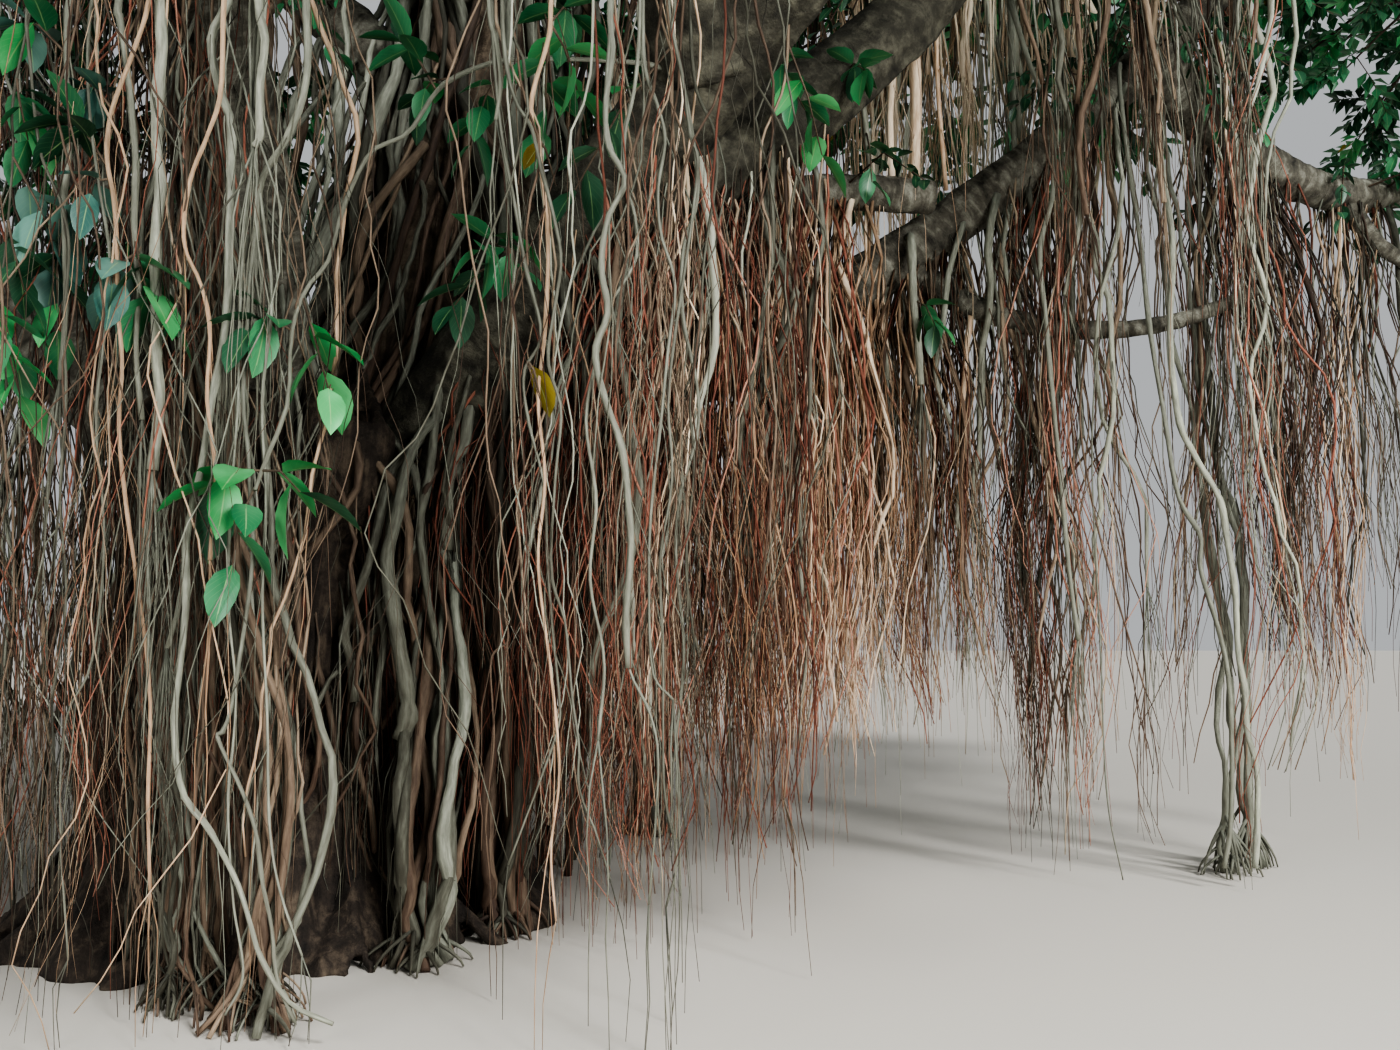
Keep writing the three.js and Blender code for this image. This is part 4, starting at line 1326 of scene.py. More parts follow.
def makePillars():
    for i, (name, pillar) in enumerate(pillars.items()):
        random = np.random.RandomState(pillarLook["seed"] + i)
        kind = pillarKinds.get(name, "column")
        look = pillarLook[kind]
        tubes = []
        for points, radii in pillarStrands(pillar, look, random):
            skin = grey if kind == "slim" else random.choice([brown, grey], p=[0.5, 0.5])
            shade = look["shade"] + random.normal(0, pillarLook["shadeSpread"])
            tubes += rootAndForks(points, radii, skin, shade, look["forks"], 0, pillarLook["youth"], random)
            tubes += footRoots(points, radii, skin, shade, look, random)
        piece = joinTubes(name + "_roots", tubes, rootSkins)
        finishPiece(piece, [name])


makePillars()
print("pillar roots made")


# lead roots: the single roots that stand out in the photograph, by their pixels and distance from the eye

# limb it hangs from, distance at its top and foot, radius at top and foot in mm, skin, number of roots in
# the brush at its tip, and its pixels in the photograph
leadRoots = [
    ("front_left_outer", 4.35, 4.4, 11, 7, 3, 3, [(149, 0), (134, 50), (112, 110), (107, 157), (114, 201),
     (117, 251), (117, 301), (122, 362), (119, 432), (128, 520), (140, 600), (150, 700), (148, 800),
     (150, 890)]),
    ("front_left_outer", 4.4, 4.4, 16, 11, 2, 8, [(119, 0), (120, 20), (127, 67), (132, 117), (136, 167),
     (134, 234), (139, 285), (136, 350), (142, 420)]),
    ("front_left_side", 4.4, 4.4, 26, 20, 2, 12, [(161, 0), (162, 50), (157, 100), (157, 151), (161, 184),
     (156, 234), (156, 291), (157, 362), (160, 402), (152, 470)]),
    ("front_left_side", 4.35, 4.35, 19, 9, 2, 0, [(228, 0), (211, 37), (218, 84), (231, 124), (231, 174),
     (229, 234), (228, 290), (222, 350), (212, 400), (201, 469), (193, 500), (186, 546), (186, 605),
     (179, 675), (174, 728), (182, 791), (207, 826), (225, 858), (240, 890), (252, 930), (262, 960),
     (290, 1003), (333, 1024)]),
    ("front_left_side", 4.35, 4.35, 19, 16, 2, 10, [(258, 0), (265, 40), (260, 84), (260, 134),
     (254, 147)]),
    ("front_left_side", 4.4, 4.4, 19, 13, 2, 9, [(306, 0), (308, 50), (303, 97), (285, 141), (268, 167),
     (260, 188), (256, 240)]),
    ("front_left_side", 4.3, 4.3, 11, 7, 3, 4, [(224, 0), (221, 90), (208, 134), (191, 177), (184, 218),
     (186, 251), (201, 285), (210, 330), (207, 400), (215, 470), (210, 560)]),
    ("front_left_side", 4.4, 4.35, 10, 8, 2, 0, [(262, 0), (254, 147), (258, 200), (252, 260), (247, 330),
     (243, 400), (248, 450), (251, 510), (253, 553), (246, 616), (232, 703), (223, 731), (218, 739),
     (242, 791), (256, 833), (262, 880), (272, 930), (277, 980), (295, 1022)]),
    ("front_left_side", 4.4, 4.35, 8, 5, 2, 3, [(266, 0), (256, 147), (262, 210), (272, 300), (262, 400),
     (266, 500), (262, 600), (267, 711), (268, 781), (270, 833), (277, 879), (286, 911), (302, 956)]),
    ("front_left_side", 4.4, 4.35, 7, 5, 2, 4, [(250, 0), (252, 147), (245, 220), (240, 300), (238, 400),
     (231, 500), (228, 600), (236, 700), (228, 800), (233, 900), (243, 974), (225, 1015)]),
    ("front_left_outer", 4.35, 4.35, 7, 4, 2, 2, [(33, 0), (13, 100), (13, 157), (5, 254), (0, 295),
     (6, 380), (2, 470)]),
    ("front_left_outer", 4.35, 4.35, 8, 5, 2, 4, [(28, 0), (30, 60), (40, 150), (60, 200), (69, 248),
     (64, 320), (66, 400), (60, 500), (66, 600), (52, 700)]),
    ("front_left_outer", 4.4, 4.4, 15, 10, 2, 8, [(70, 0), (67, 50), (69, 150), (64, 200), (66, 300),
     (60, 380)]),
    ("front_left_outer", 4.35, 4.35, 8, 4, 2, 2, [(92, 0), (88, 90), (98, 180), (110, 260), (104, 340),
     (96, 420), (104, 540), (92, 660), (66, 720), (60, 820), (68, 960)]),
    ("front_side", 4.3, 4.3, 11, 9, 2, 4, [(489, 0), (496, 40), (501, 80), (496, 120)]),
    ("front_side", 4.3, 4.3, 9, 4, 2, 1, [(492, 0), (500, 122), (514, 201), (526, 268), (541, 335),
     (524, 372), (528, 419), (544, 486), (547, 553), (552, 623), (559, 696), (558, 728), (536, 791),
     (508, 865)]),
    ("front_side", 4.25, 4.25, 9, 4, 2, 1, [(502, 0), (507, 67), (517, 104), (531, 127), (541, 167),
     (554, 218), (561, 261), (554, 311), (548, 362), (561, 409), (556, 470), (551, 570), (565, 623),
     (572, 696), (579, 746), (579, 788), (596, 833), (610, 879)]),
    ("front_side", 4.3, 4.3, 11, 4, 3, 1, [(551, 0), (548, 40), (531, 104), (540, 160), (548, 240),
     (545, 330), (538, 400), (545, 480), (538, 560), (548, 650), (556, 720), (559, 781), (551, 851),
     (556, 921)]),
    ("front_bough", 4.15, 4.15, 10, 14, 2, 0, [(610, 0), (613, 50), (606, 100), (608, 144), (625, 181),
     (608, 218), (601, 268), (608, 311), (595, 352), (605, 399), (621, 445), (628, 500), (631, 553),
     (626, 616), (629, 668)]),
    ("front_bough", 4.15, 4.15, 9, 4, 2, 2, [(612, 0), (606, 100), (610, 144), (625, 181), (608, 218),
     (603, 268), (609, 311), (597, 352), (606, 399), (622, 445), (629, 500), (632, 553), (627, 616),
     (629, 668), (649, 711), (658, 753), (656, 816), (649, 904)]),
    ("front_bough", 4.2, 4.2, 8, 6, 2, 2, [(640, 0), (635, 84), (625, 134), (625, 181), (635, 218),
     (635, 261), (608, 308), (598, 352), (586, 420), (596, 500), (590, 580), (604, 660), (598, 740)]),
    ("front_bough", 4.2, 4.2, 8, 5, 2, 3, [(643, 0), (645, 67), (658, 107), (665, 141), (658, 188),
     (661, 234), (675, 285), (668, 350), (660, 430), (652, 500), (649, 563), (652, 668), (673, 700)]),
    ("front_outer", 4.2, 4.2, 8, 4, 2, 2, [(675, 0), (672, 27), (682, 74), (690, 134), (698, 161),
     (692, 218), (685, 268), (675, 335), (668, 402), (672, 480), (660, 560), (663, 640), (663, 728),
     (665, 798), (677, 858), (666, 907)]),
    ("front_outer", 4.6, 4.6, 8, 5, 2, 2, [(690, 0), (695, 84), (713, 127), (717, 161), (713, 201),
     (704, 260), (700, 330), (690, 400), (694, 470), (686, 560), (694, 640)]),
    ("front_outer", 4.6, 4.6, 10, 6, 2, 4, [(668, 0), (680, 67), (695, 151), (697, 201), (683, 251),
     (683, 318), (697, 385), (697, 435), (680, 496), (676, 560), (684, 650), (676, 740)]),
    ("main_bough", 5.95, 5.95, 38, 30, 2, 12, [(466, 436), (453, 462), (447, 500), (447, 550)]),
    ("main_bough", 5.65, 5.6, 24, 24, 2, 12, [(375, 540), (363, 580), (350, 612), (344, 634), (351, 662),
     (354, 702)]),
    ("main_bough", 5.6, 5.6, 26, 46, 2, 8, [(396, 520), (387, 560), (392, 600), (398, 640), (405, 680),
     (408, 715), (401, 740)]),
    ("main_bough", 5.7, 5.65, 20, 14, 2, 6, [(385, 540), (377, 590), (384, 640), (377, 690), (375, 730)]),
    ("main_bough", 5.85, 5.8, 28, 16, 2, 8, [(430, 470), (420, 520), (424, 570), (432, 620), (441, 668),
     (446, 700)]),
    ("main_bough", 5.2, 5.2, 8, 5, 1, 3, [(789, 0), (784, 84), (762, 141), (762, 201), (770, 234),
     (768, 330), (776, 420), (770, 520), (778, 620), (790, 720), (784, 800)]),
    ("front_side", 4.9, 4.9, 7, 4, 1, 2, [(492, 0), (508, 220), (512, 330), (515, 440), (519, 553),
     (505, 605), (508, 640), (491, 661), (494, 740), (486, 820), (490, 880)]),
    ("main_bough", 5.4, 4.3, 15, 8, 2, 0, [(700, 90), (680, 76), (655, 66), (628, 62), (600, 60), (541, 59),
     (494, 62), (450, 80), (430, 100), (407, 134), (373, 150), (353, 184), (340, 218), (328, 261),
     (305, 291), (291, 335), (288, 402), (265, 462), (255, 490)]),
    ("right_bough", 6.2, 7.2, 34, 36, 3, 0, [(912, 30), (914, 47), (916, 111), (914, 190)]),
    ("right_bough", 6.4, 7.2, 20, 22, 3, 0, [(890, 30), (893, 60), (890, 120), (893, 200)]),
    ("right_bough", 6.4, 7.1, 18, 20, 2, 0, [(864, 60), (862, 90), (870, 170), (868, 210)]),
    ("right_bough", 6.4, 7.2, 15, 16, 3, 0, [(936, 10), (938, 90), (946, 190)]),
    ("right_bough", 6.2, 6.2, 20, 14, 2, 8, [(752, 150), (752, 215), (757, 278), (759, 335), (764, 402),
     (767, 435), (750, 502)]),
    ("cross_bough", 6.9, 6.6, 12, 10, 3, 8, [(827, 200), (827, 254), (827, 335), (826, 419)]),
    ("low_right_bough", 7.15, 7.15, 30, 24, 2, 12, [(912, 262), (914, 308), (918, 340), (921, 385)]),
    ("low_right_bough", 6.9, 6.9, 19, 14, 2, 6, [(1010, 0), (1030, 65), (1050, 115), (1053, 190),
     (1040, 250), (1046, 320), (1052, 390), (1060, 470), (1068, 560), (1078, 640)]),
    ("low_right_bough", 6.9, 6.95, 21, 18, 2, 0, [(1135, 75), (1150, 130), (1160, 155), (1165, 190),
     (1172, 235), (1172, 280), (1170, 320), (1172, 370), (1180, 425), (1192, 450), (1200, 465), (1220, 500),
     (1227, 540), (1235, 590), (1238, 650), (1245, 690), (1247, 730), (1257, 770), (1257, 830),
     (1255, 868)]),
    ("low_right_bough", 6.9, 6.95, 15, 16, 2, 0, [(1120, 90), (1128, 160), (1140, 240), (1150, 330),
     (1165, 420), (1178, 495), (1200, 535), (1200, 565), (1208, 595), (1220, 635), (1228, 675), (1231, 720),
     (1232, 780), (1230, 830), (1224, 868)]),
    ("low_right_bough", 6.9, 6.9, 9, 5, 1, 5, [(1078, 110), (1072, 200), (1086, 330), (1080, 420),
     (1095, 515), (1112, 580), (1125, 625), (1145, 690)]),
    ("low_right_bough", 6.9, 6.9, 8, 4, 2, 3, [(1100, 90), (1104, 260), (1092, 440), (1100, 640),
     (1107, 795), (1123, 880)]),
]


def fromPhoto(u, v, distance):
    # the place seen at a pixel of the photograph, at a distance from the camera along +Y
    pitch = math.radians(photoView["pitch"])
    right = (u - photoView["width"] / 2) / photoView["focal"]
    rise = (photoView["height"] / 2 - v) / photoView["focal"]
    reach = distance / (math.cos(pitch) - rise * math.sin(pitch))
    away = np.array([reach * right, distance, reach * (math.sin(pitch) + rise * math.cos(pitch))])
    return np.array(photoView["place"]) + away


def nearestOn(limbName, place):  # the point of the limb most nearly above a place
    spots = np.array([pointOn(lines[limbName], s) for s in np.linspace(0, 1, 60)])
    return spots[np.hypot(spots[:, 0] - place[0], spots[:, 1] - place[1]).argmin()]


def smoothLine(points, step):
    points = np.array(points)
    count = max(4, int(pathLength(points) / step))
    return np.array([pointOn(points, s) for s in np.linspace(0, 1, count)])


leadLook = {
    "seed": 90,
    "step": 0.07,
    "bendOver": 0.7,  # metres up to the limb, past which the root bends over on its way there
    "knots": 0.2,
    "lumps": 0.05,
    "shade": (0.6, 0.78),  # of roots of these radii in mm
    "shadeRadii": (8, 22),
    "shadeSpread": 0.07,
    "underBough": 5.5,  # metres away, past which roots of the main bough hang in its shadow
    "shadow": 0.24,
    "forks": 3,
    "youth": 0.2,
}
leadLines = []


def makeLeadRoots():
    look = leadLook
    random = np.random.RandomState(look["seed"])
    tubes = []
    for limbName, topDistance, footDistance, topRadius, footRadius, skin, brush, pixels in leadRoots:
        traced = [fromPhoto(u, v, mix(topDistance, footDistance, k / (len(pixels) - 1)))
                  for k, (u, v) in enumerate(pixels)]
        top = nearestOn(limbName, traced[0])
        if top[2] - traced[0][2] > look["bendOver"]:
            joint = np.array([*mix(top[:2], traced[0][:2], 0.75), mix(top[2], traced[0][2], 0.45)])
        else:
            joint = np.array([*mix(top[:2], traced[0][:2], 0.7), max(top[2], traced[0][2]) + 0.05])
        points = smoothLine([top, joint] + traced, look["step"])
        points[:, 2] = np.maximum(points[:, 2], footRadius / 1000)
        count = len(points)
        share = np.linspace(0, 1, count)
        knots = 1 + look["knots"] * np.maximum(0, np.sin(share * count * 0.5 + topRadius)) ** 6
        radii = mix(topRadius, footRadius, share) / 1000 * knots
        radii = radii * (1 + look["lumps"] * random.normal(0, 1, count))
        shade = mix(*look["shade"], smoothStep(topRadius, *look["shadeRadii"]))
        shade = shade + random.normal(0, look["shadeSpread"])
        if limbName == "main_bough" and topDistance > look["underBough"]:
            shade -= look["shadow"]
        tubes += rootAndForks(points, radii, skin, shade, look["forks"], brush, look["youth"], random)
        leadLines.append(points)
    piece = joinTubes("lead_roots", tubes, rootSkins)
    finishPiece(piece)


makeLeadRoots()
print("hanging roots made")


# foliage: branches fan out of each bough's tip by the rule of the solids, and end in sprays of leaves

masses = {
    "far_right_foliage": dict(bough="far_right_bough", reach=0.9, size=2.3),
    "low_right_foliage": dict(bough="low_right_bough", reach=1.0, size=2.4),
    "right_foliage": dict(bough="right_bough", reach=1.0, size=2.5),
    "main_foliage": dict(bough="main_bough", reach=1.0, size=2.6),
    "front_foliage": dict(bough="front_bough", reach=1.0, size=2.5),
    "front_left_foliage": dict(bough="front_left_bough", reach=1.0, size=2.6),
    "left_front_foliage": dict(bough="left_front_bough", reach=1.0, size=2.5),
    "left_foliage": dict(bough="left_bough", reach=1.0, size=2.6),
    "left_back_foliage": dict(bough="left_back_bough", reach=1.0, size=2.5),
    "back_left_foliage": dict(bough="back_left_bough", reach=1.0, size=2.6),
    "back_foliage": dict(bough="back_bough", reach=1.0, size=2.7),
    "back_right_foliage": dict(bough="back_right_bough", reach=1.0, size=2.7),
    "crown_left_foliage": dict(bough="crown_left_bough", reach=0.9, size=3.1),
    "crown_back_foliage": dict(bough="crown_back_bough", reach=0.9, size=3.1),
    "crown_front_foliage": dict(bough="crown_front_bough", reach=0.9, size=3.1),
    "crown_right_foliage": dict(bough="crown_right_bough", reach=0.9, size=2.9),
    "top_foliage": dict(bough="leader", reach=0.9, size=3.0),
}

foliageGroups = {
    "right_side": ["right_foliage", "main_foliage"],
    "front_side": ["front_foliage", "front_left_foliage", "left_front_foliage"],
    "left_side": ["left_foliage", "left_back_foliage", "back_left_foliage"],
    "back_side": ["back_foliage", "back_right_foliage", "crown_right_foliage"],
    "crown_top": ["crown_left_foliage", "crown_back_foliage", "crown_front_foliage", "top_foliage"],
    "far_right_side": ["far_right_foliage", "low_right_foliage"],
}

foliageLook = {
    "seed": 500,
    "lift": 0.3,
    "flatness": 0.7,
    "lowest": -0.7,
    "branches": 60,
    "reach": (0.72, 1.22),  # of the mass's size
    "droop": 0.25,
    "branchRadius": (0.0215, 0.005),
    "branchShares": (0, 0.25, 0.5, 0.75, 1),
    "branchBend": 0.55,
    "branchArch": 0.08,
    "stemRadii": (0.1, 0.06),  # at the shoulder and in the middle of the mass
    "spraysPerBranch": 7,
    "spraysBack": 0.55,  # how far back along the branch they begin
    "sprayOutward": 0.7,
    "sprayScatter": 0.9,
    "lastSprayScatter": 0.25,
    "sprayLift": 0.25,
    "sprayLength": (0.35, 0.62),
    "lastSprayLength": 0.3,
    "sprayDroop": 0.12,
    "twigRadii": (0.0044, 0.004, 0.003),
    "leastRoom": 0.4,
    "pastBox": (0.2, 0.1),  # how far sprays may pass the solids' box, low and high
    "leaves": dict(length=0.28, width=0.15, rows=3, perSpray=8),
    # more and smaller leaves where the photograph looks up into the crown
    "nearLeaves": dict(length=0.17, width=0.1, rows=2, perSpray=17),
    "fold": 0.16,
    "curl": 0.16,
    "gap": 0.05,
}
sprayLook = {
    "from": 0.35,  # where leaves begin along the twig
    "spiral": 2.4,  # radians from leaf to leaf
    "loose": 0.3,
    "ahead": (0.35, 1.2),  # how far a leaf points along the twig, from the first to the last
    "droop": 0.25,
    "sizes": (0.75, 1.1),
}
leafSkins = ["shadeLeaf", "figLeaf", "youngLeaf", "blueLeaf", "oldLeaf"]
oldLeaf = leafSkins.index("oldLeaf")
leafSkinShares = (0.4, 0.45, 0.12, 0.03)  # by spray; an old yellow leaf stands alone
oldLeafShare = 0.006
farAway = 99.0
crownLow, crownHigh = np.array(cadBox[0]), np.array(cadBox[1])


def massCentre(mass):
    path = lines[mass["bough"]]
    centre = pointOn(path, 1) + directionOn(path, 1) * mass["reach"]
    centre[2] += foliageLook["lift"] * mass["size"]
    return centre


massCentres = {massName: massCentre(mass) for massName, mass in masses.items()}


def roomAlong(name, direction):  # how far a mass may reach before the next one's space
    own = massCentres[name]
    room = farAway
    for otherName, other in massCentres.items():
        if otherName == name:
            continue
        away = other - own
        distance = np.linalg.norm(away)
        closing = float(np.dot(away / distance, direction))
        if closing > 0:
            room = min(room, (distance / 2 - foliageLook["gap"]) / closing)
    return room


def leafPattern(length, width, rows, fold, curl):
    # one leaf, modelled flat, folded along its rib and curled, and then kept as arrays to copy
    bpy.ops.mesh.primitive_grid_add(x_subdivisions=2, y_subdivisions=rows, size=1)
    leaf = bpy.context.object
    mesh = leaf.data
    for vertex in mesh.vertices:
        along = vertex.co.y + 0.5
        breadth = math.sin(math.pi * along**0.9) ** 0.75 if 0 < along < 1 else 0
        side = vertex.co.x * 2
        vertex.co = (side * breadth * width / 2, along * length,
                     abs(side) * breadth * width * fold - curl * length * along**2)
    editWhole(leaf)
    bpy.ops.mesh.remove_doubles(threshold=0.0005)
    bpy.ops.object.mode_set(mode="OBJECT")
    vertices = np.empty(len(mesh.vertices) * 3)
    mesh.vertices.foreach_get("co", vertices)
    loops = np.empty(len(mesh.loops), int)
    mesh.loops.foreach_get("vertex_index", loops)
    starts = np.empty(len(mesh.polygons), int)
    mesh.polygons.foreach_get("loop_start", starts)
    uvs = np.empty(len(mesh.loops) * 2)
    mesh.uv_layers[0].data.foreach_get("uv", uvs)
    bpy.data.objects.remove(leaf)
    return vertices.reshape(-1, 3), loops, starts, uvs


def joinLeaves(name, pattern, leaves, skins):
    # one mesh of copies of a leaf; each has its place, its axes as columns, and its size
    vertices, loops, starts, uvs = pattern
    places, turns, sizes = (np.array(column) for column in zip(*leaves))
    count = len(leaves)
    moved = np.einsum("nij,vj->nvi", turns * sizes[:, None, None], vertices) + places[:, None, :]
    allLoops = loops[None, :] + (np.arange(count) * len(vertices))[:, None]
    allStarts = starts[None, :] + (np.arange(count) * len(loops))[:, None]
    piece = meshOfArrays(name, moved.reshape(-1, 3), allLoops.ravel(), allStarts.ravel(),
                         np.repeat(skins, len(starts)), "leafMap", np.tile(uvs, count), leafSkins)
    piece.data.validate()
    return piece


def twigTube(points, radii, shade):  # twigs have one skin and no young tips
    return points, radii, 0, shade, (0.0, 0.0)


def axesFacing(axis, up):
    axis = axis / np.linalg.norm(axis)
    side = np.cross(axis, up)
    side = side / np.linalg.norm(side)
    return np.column_stack([side, axis, np.cross(side, axis)])


def sprayLeaves(twigPoints, count, size, random):
    # leaves in a spiral round the last part of a twig: the place, axes and size of each
    leaves = []
    for k in range(count):
        share = mix(sprayLook["from"], 1.0, k / (count - 1))
        place = pointOn(twigPoints, share)
        along = directionOn(twigPoints, share)
        around = sprayLook["spiral"] * k + random.uniform(-sprayLook["loose"], sprayLook["loose"])
        across, up = sideAxes(along, np.array([0.13, 0.21, 0.97]))
        outward = across * math.cos(around) + up * math.sin(around)
        axis = along * mix(*sprayLook["ahead"], share**3) + outward
        axis[2] -= sprayLook["droop"]
        axes = axesFacing(axis, np.array([0.1, 0.1, 1.0]) + outward * 0.15)
        leaves.append((place, axes, size * random.uniform(*sprayLook["sizes"])))
    return leaves


def sprayTwig(name, centre, branch, outward, k, random):
    # the k-th twig of a branch, back from its tip, or nothing where it would leave the mass's own space
    look = foliageLook
    share = 1 - look["spraysBack"] * (k / look["spraysPerBranch"]) ** 1.2
    base = pointOn(branch, share)
    away = random.normal(0, 1, 3)
    away = away / np.linalg.norm(away)
    heading = outward * look["sprayOutward"] + away * look["sprayScatter" if k else "lastSprayScatter"]
    heading[2] += look["sprayLift"]
    heading = heading / np.linalg.norm(heading)
    length = random.uniform(*look["sprayLength"]) if k else look["lastSprayLength"]
    bend = base + heading * length * 0.5
    last = base + heading * length
    last[2] -= look["sprayDroop"]
    reached = np.linalg.norm(last - centre)
    if reached > max(roomAlong(name, (last - centre) / reached), look["leastRoom"]):
        return None
    if np.any(last < crownLow - look["pastBox"][0]) or np.any(last > crownHigh + look["pastBox"][1]):
        return None
    return np.array([base, bend, last])


def growMass(name, mass, leavesPerSpray, random):
    look = foliageLook
    centre = massCentres[name]
    path = lines[mass["bough"]]
    tip, ahead = pointOn(path, 1), directionOn(path, 1)
    stem = [tip - ahead * 0.1, tip + ahead * 0.3, centre]
    twigs = [twigTube(stem, [boughs[mass["bough"]]["radius"][1], *look["stemRadii"]], 0.3)]
    leaves = []
    count = look["branches"]
    for i in range(count):
        level = mix(1, look["lowest"], (i + 0.5) / count)
        turn = math.pi * (3 - math.sqrt(5)) * i + random.uniform(0, 0.5)
        flat = math.sqrt(1 - level**2)
        outward = np.array([flat * math.cos(turn), flat * math.sin(turn), level * look["flatness"]])
        squash = np.linalg.norm(outward)
        outward = outward / squash
        wanted = mix(*look["reach"], random.random()) * squash * mass["size"]
        reach = min(wanted, roomAlong(name, outward))
        end = centre + outward * reach
        end[2] -= look["droop"] * reach * 0.3 * flat
        end = np.clip(end, crownLow, crownHigh)
        middle = mix(centre, end, look["branchBend"]) + np.array([0, 0, look["branchArch"] * reach])
        branch = np.array([centre, middle, end])
        twigs.append(twigTube([pointOn(branch, s) for s in look["branchShares"]],
                              [mix(*look["branchRadius"], s) for s in look["branchShares"]], 0.3))
        for k in range(look["spraysPerBranch"]):
            twig = sprayTwig(name, centre, branch, outward, k, random)
            if twig is not None:
                twigs.append(twigTube(twig, look["twigRadii"], 0.4))
                leaves += sprayLeaves(twig, leavesPerSpray, 1.0, random)
    return twigs, leaves


def makeFoliage():
    for g, (groupName, names) in enumerate(foliageGroups.items()):
        look = foliageLook["nearLeaves" if groupName == "far_right_side" else "leaves"]
        pattern = leafPattern(look["length"], look["width"], look["rows"], foliageLook["fold"],
                              foliageLook["curl"])
        random = np.random.RandomState(foliageLook["seed"] + g)
        twigs, leaves = [], []
        for name in names:
            moreTwigs, moreLeaves = growMass(name, masses[name], look["perSpray"], random)
            twigs += moreTwigs
            leaves += moreLeaves
        piece = joinTubes(groupName + "_twigs", twigs, ["brownRoot"])
        finishPiece(piece, names)
        sprays = len(leaves) // look["perSpray"]
        skins = np.repeat(random.choice(4, sprays, p=leafSkinShares), look["perSpray"])
        skins[random.random(len(skins)) < oldLeafShare] = oldLeaf
        piece = joinLeaves(groupName + "_leaves", pattern, leaves, skins)
        finishPiece(piece, names)


makeFoliage()


# leafy sprigs under the crown: where each leaves its root or bough and where it ends, in pixels of the
# photograph, its distance, number of leaves, their length in metres and their skin's place in the list
sprigs = [
    ((60, 60), (22, 24), 4.4, 6, 0.2, 3), ((118, 170), (70, 120), 4.4, 9, 0.21, 0),
    ((132, 240), (150, 305), 4.4, 7, 0.24, 1), ((112, 110), (90, 92), 4.4, 5, 0.18, 3),
    ((20, 90), (28, 140), 4.4, 6, 0.2, 1), ((132, 250), (108, 300), 4.4, 5, 0.22, 3),
    ((15, 230), (24, 290), 4.4, 5, 0.2, 0), ((70, 240), (58, 330), 4.5, 4, 0.2, 0),
    ((5, 320), (20, 395), 4.4, 4, 0.18, 2), ((40, 180), (60, 255), 4.5, 6, 0.22, 3),
    ((118, 180), (88, 205), 4.4, 4, 0.2, 3), ((5, 290), (12, 350), 4.4, 4, 0.2, 1),
    ((330, 331), (255, 325), 4.4, 6, 0.2, 1), ((305, 291), (328, 388), 4.5, 5, 0.22, 2),
    ((265, 462), (215, 490), 4.3, 5, 0.25, 2), ((265, 462), (300, 492), 4.3, 4, 0.26, 2),
    ((262, 470), (232, 565), 4.3, 3, 0.2, 1), ((430, 100), (398, 40), 5.0, 7, 0.19, 1),
    ((450, 80), (415, 105), 5.1, 5, 0.18, 0), ((494, 62), (470, 145), 5.2, 6, 0.2, 1),
    ((541, 59), (575, 18), 4.6, 6, 0.2, 1), ((541, 59), (577, 90), 4.6, 5, 0.2, 2),
    ((548, 60), (545, 132), 4.6, 4, 0.19, 1), ((600, 60), (575, 190), 4.6, 6, 0.2, 0),
    ((501, 230), (480, 250), 4.6, 5, 0.2, 1), ((506, 200), (515, 265), 4.6, 4, 0.2, 1),
    ((505, 240), (455, 305), 4.8, 6, 0.19, 0), ((780, 40), (805, 110), 5.6, 8, 0.2, 1),
    ((840, 10), (865, 70), 5.7, 8, 0.2, 1), ((800, 90), (822, 155), 5.6, 5, 0.2, 2),
    ((893, 120), (872, 182), 6.4, 4, 0.2, 1), ((920, 300), (935, 325), 7.1, 6, 0.2, 1),
    ((555, 150), (556, 186), 4.5, 1, 0.11, 4), ((530, 360), (540, 398), 4.3, 1, 0.165, 4),
    ((800, 40), (797, 60), 5.6, 1, 0.14, 4),
]


sprigLook = {
    "seed": 77,
    "leafSwell": 1.2,
    "leaf": dict(length=1.0, width=0.52, rows=5, fold=0.14, curl=0.2),
    "twigRadii": (0.006, 0.005, 0.003),
    "ownSkin": 0.8,  # share of leaves in their sprig's own skin
    "limbTwigRadii": (0.008, 0.006, 0.003),
    "limbTwigLength": (0.4, 1.0),
    "limbLeaf": 0.13,
    "limbLeaves": 13,
}
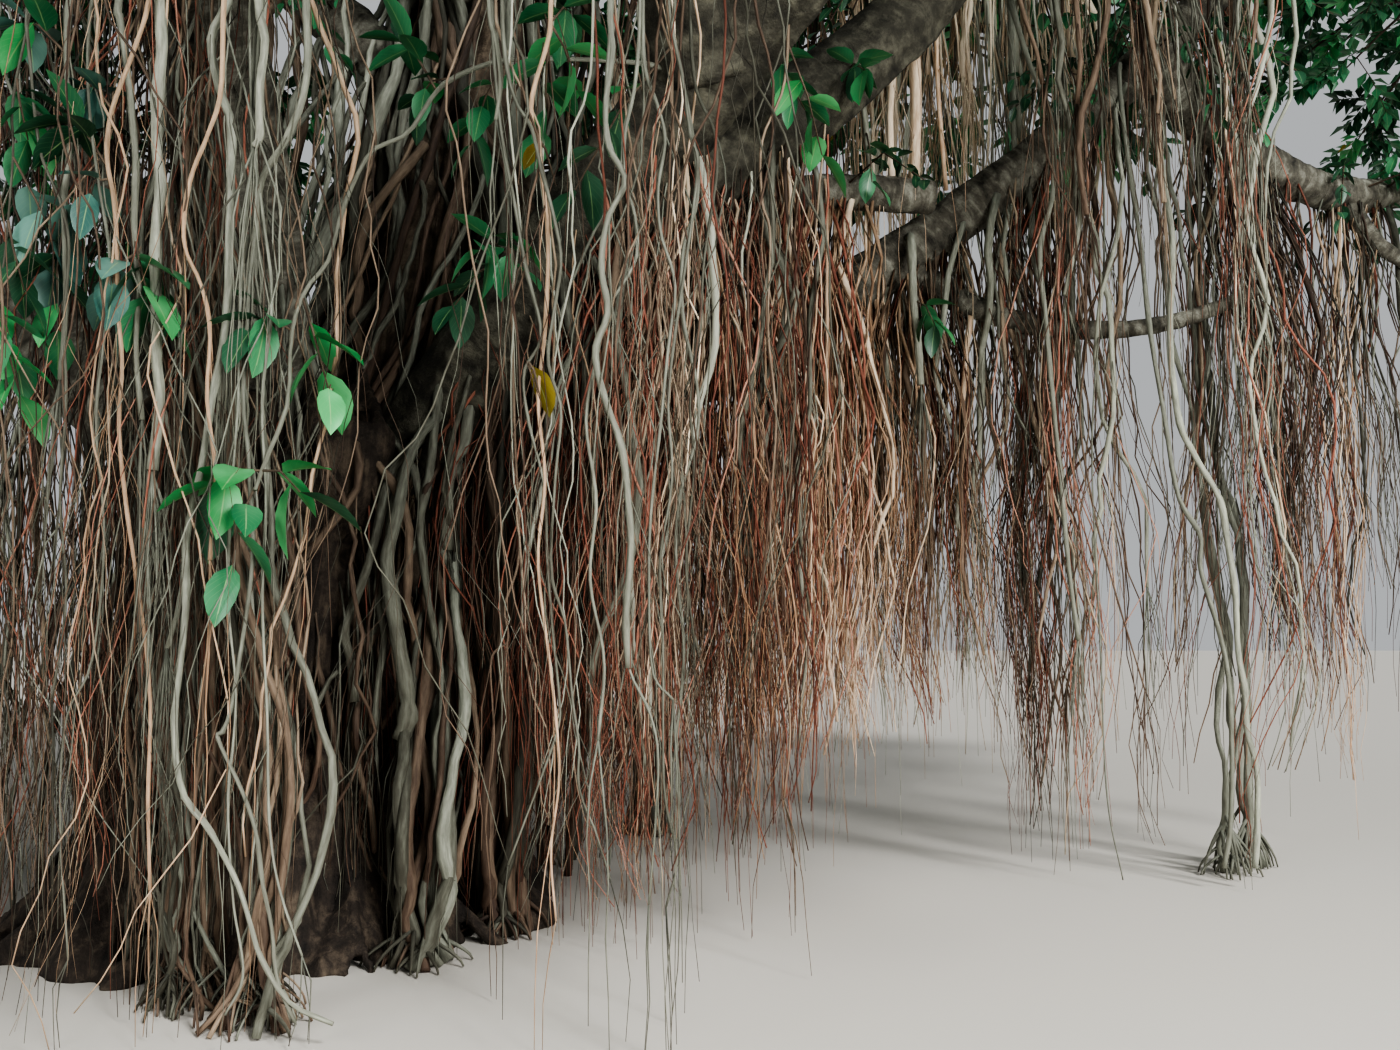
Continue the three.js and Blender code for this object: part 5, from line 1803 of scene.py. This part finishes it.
# limbs that carry leafy twigs all along: from and to as shares, number of twigs
leafyLimbs = [
    ("far_right_bough", 0.35, 1.0, 34), ("low_right_bough", 0.72, 1.0, 34), ("right_bough", 0.4, 0.9, 16),
    ("cross_bough", 0.4, 1.0, 6), ("crown_left_bough", 0.1, 0.6, 10), ("front_left_bough", 0.3, 0.9, 16),
    ("front_bough", 0.2, 0.9, 14), ("left_bough", 0.3, 0.9, 16),
]


def makeSprigs():
    look = sprigLook
    random = np.random.RandomState(look["seed"])
    pattern = leafPattern(**look["leaf"])
    shares = np.linspace(0, 1, 80)
    limbPoints = [np.array([pointOn(lines[name], s) for s in shares]) for name in nearBoughs]
    carriers = np.concatenate(leadLines + limbPoints)
    twigs, leaves, skins = [], [], []
    for start, end, distance, count, length, skin in sprigs:
        base, tip = fromPhoto(*start, distance), fromPhoto(*end, distance)
        hold = carriers[np.linalg.norm(carriers - base, axis=1).argmin()]
        bend = mix(hold, tip, 0.55) + np.array([0, -0.03, 0.04])
        twig = np.array([hold, bend, tip])
        twigs.append(twigTube(twig, look["twigRadii"], 0.5))
        leaves += sprayLeaves(twig, max(count, 2), length * look["leafSwell"], random)[:count]
        for _ in range(count):
            own = random.random() < look["ownSkin"]
            skins.append(skin if own else random.choice(3))
    for limbName, first, last, twigCount in leafyLimbs:
        for _ in range(twigCount):
            base = pointOn(lines[limbName], random.uniform(first, last))
            heading = random.uniform(0, 2 * math.pi)
            length = random.uniform(*look["limbTwigLength"])
            outward = np.array([math.cos(heading), math.sin(heading), 0.0]) * length
            bend = base + outward * 0.5 + np.array([0, 0, 0.1])
            tip = base + outward * 0.9 - np.array([0, 0, random.uniform(0.0, 0.9) * length])
            twig = np.array([base, bend, tip])
            twigs.append(twigTube(twig, look["limbTwigRadii"], 0.4))
            skins += [random.choice(4, p=leafSkinShares)] * look["limbLeaves"]
            leaves += sprayLeaves(twig, look["limbLeaves"], look["limbLeaf"], random)
    piece = joinTubes("sprig_twigs", twigs, ["brownRoot"])
    finishPiece(piece)
    piece = joinLeaves("sprig_leaves", pattern, leaves, skins)
    selectOnly(piece)
    bpy.ops.object.shade_smooth()
    finishPiece(piece)


makeSprigs()
print("foliage made")
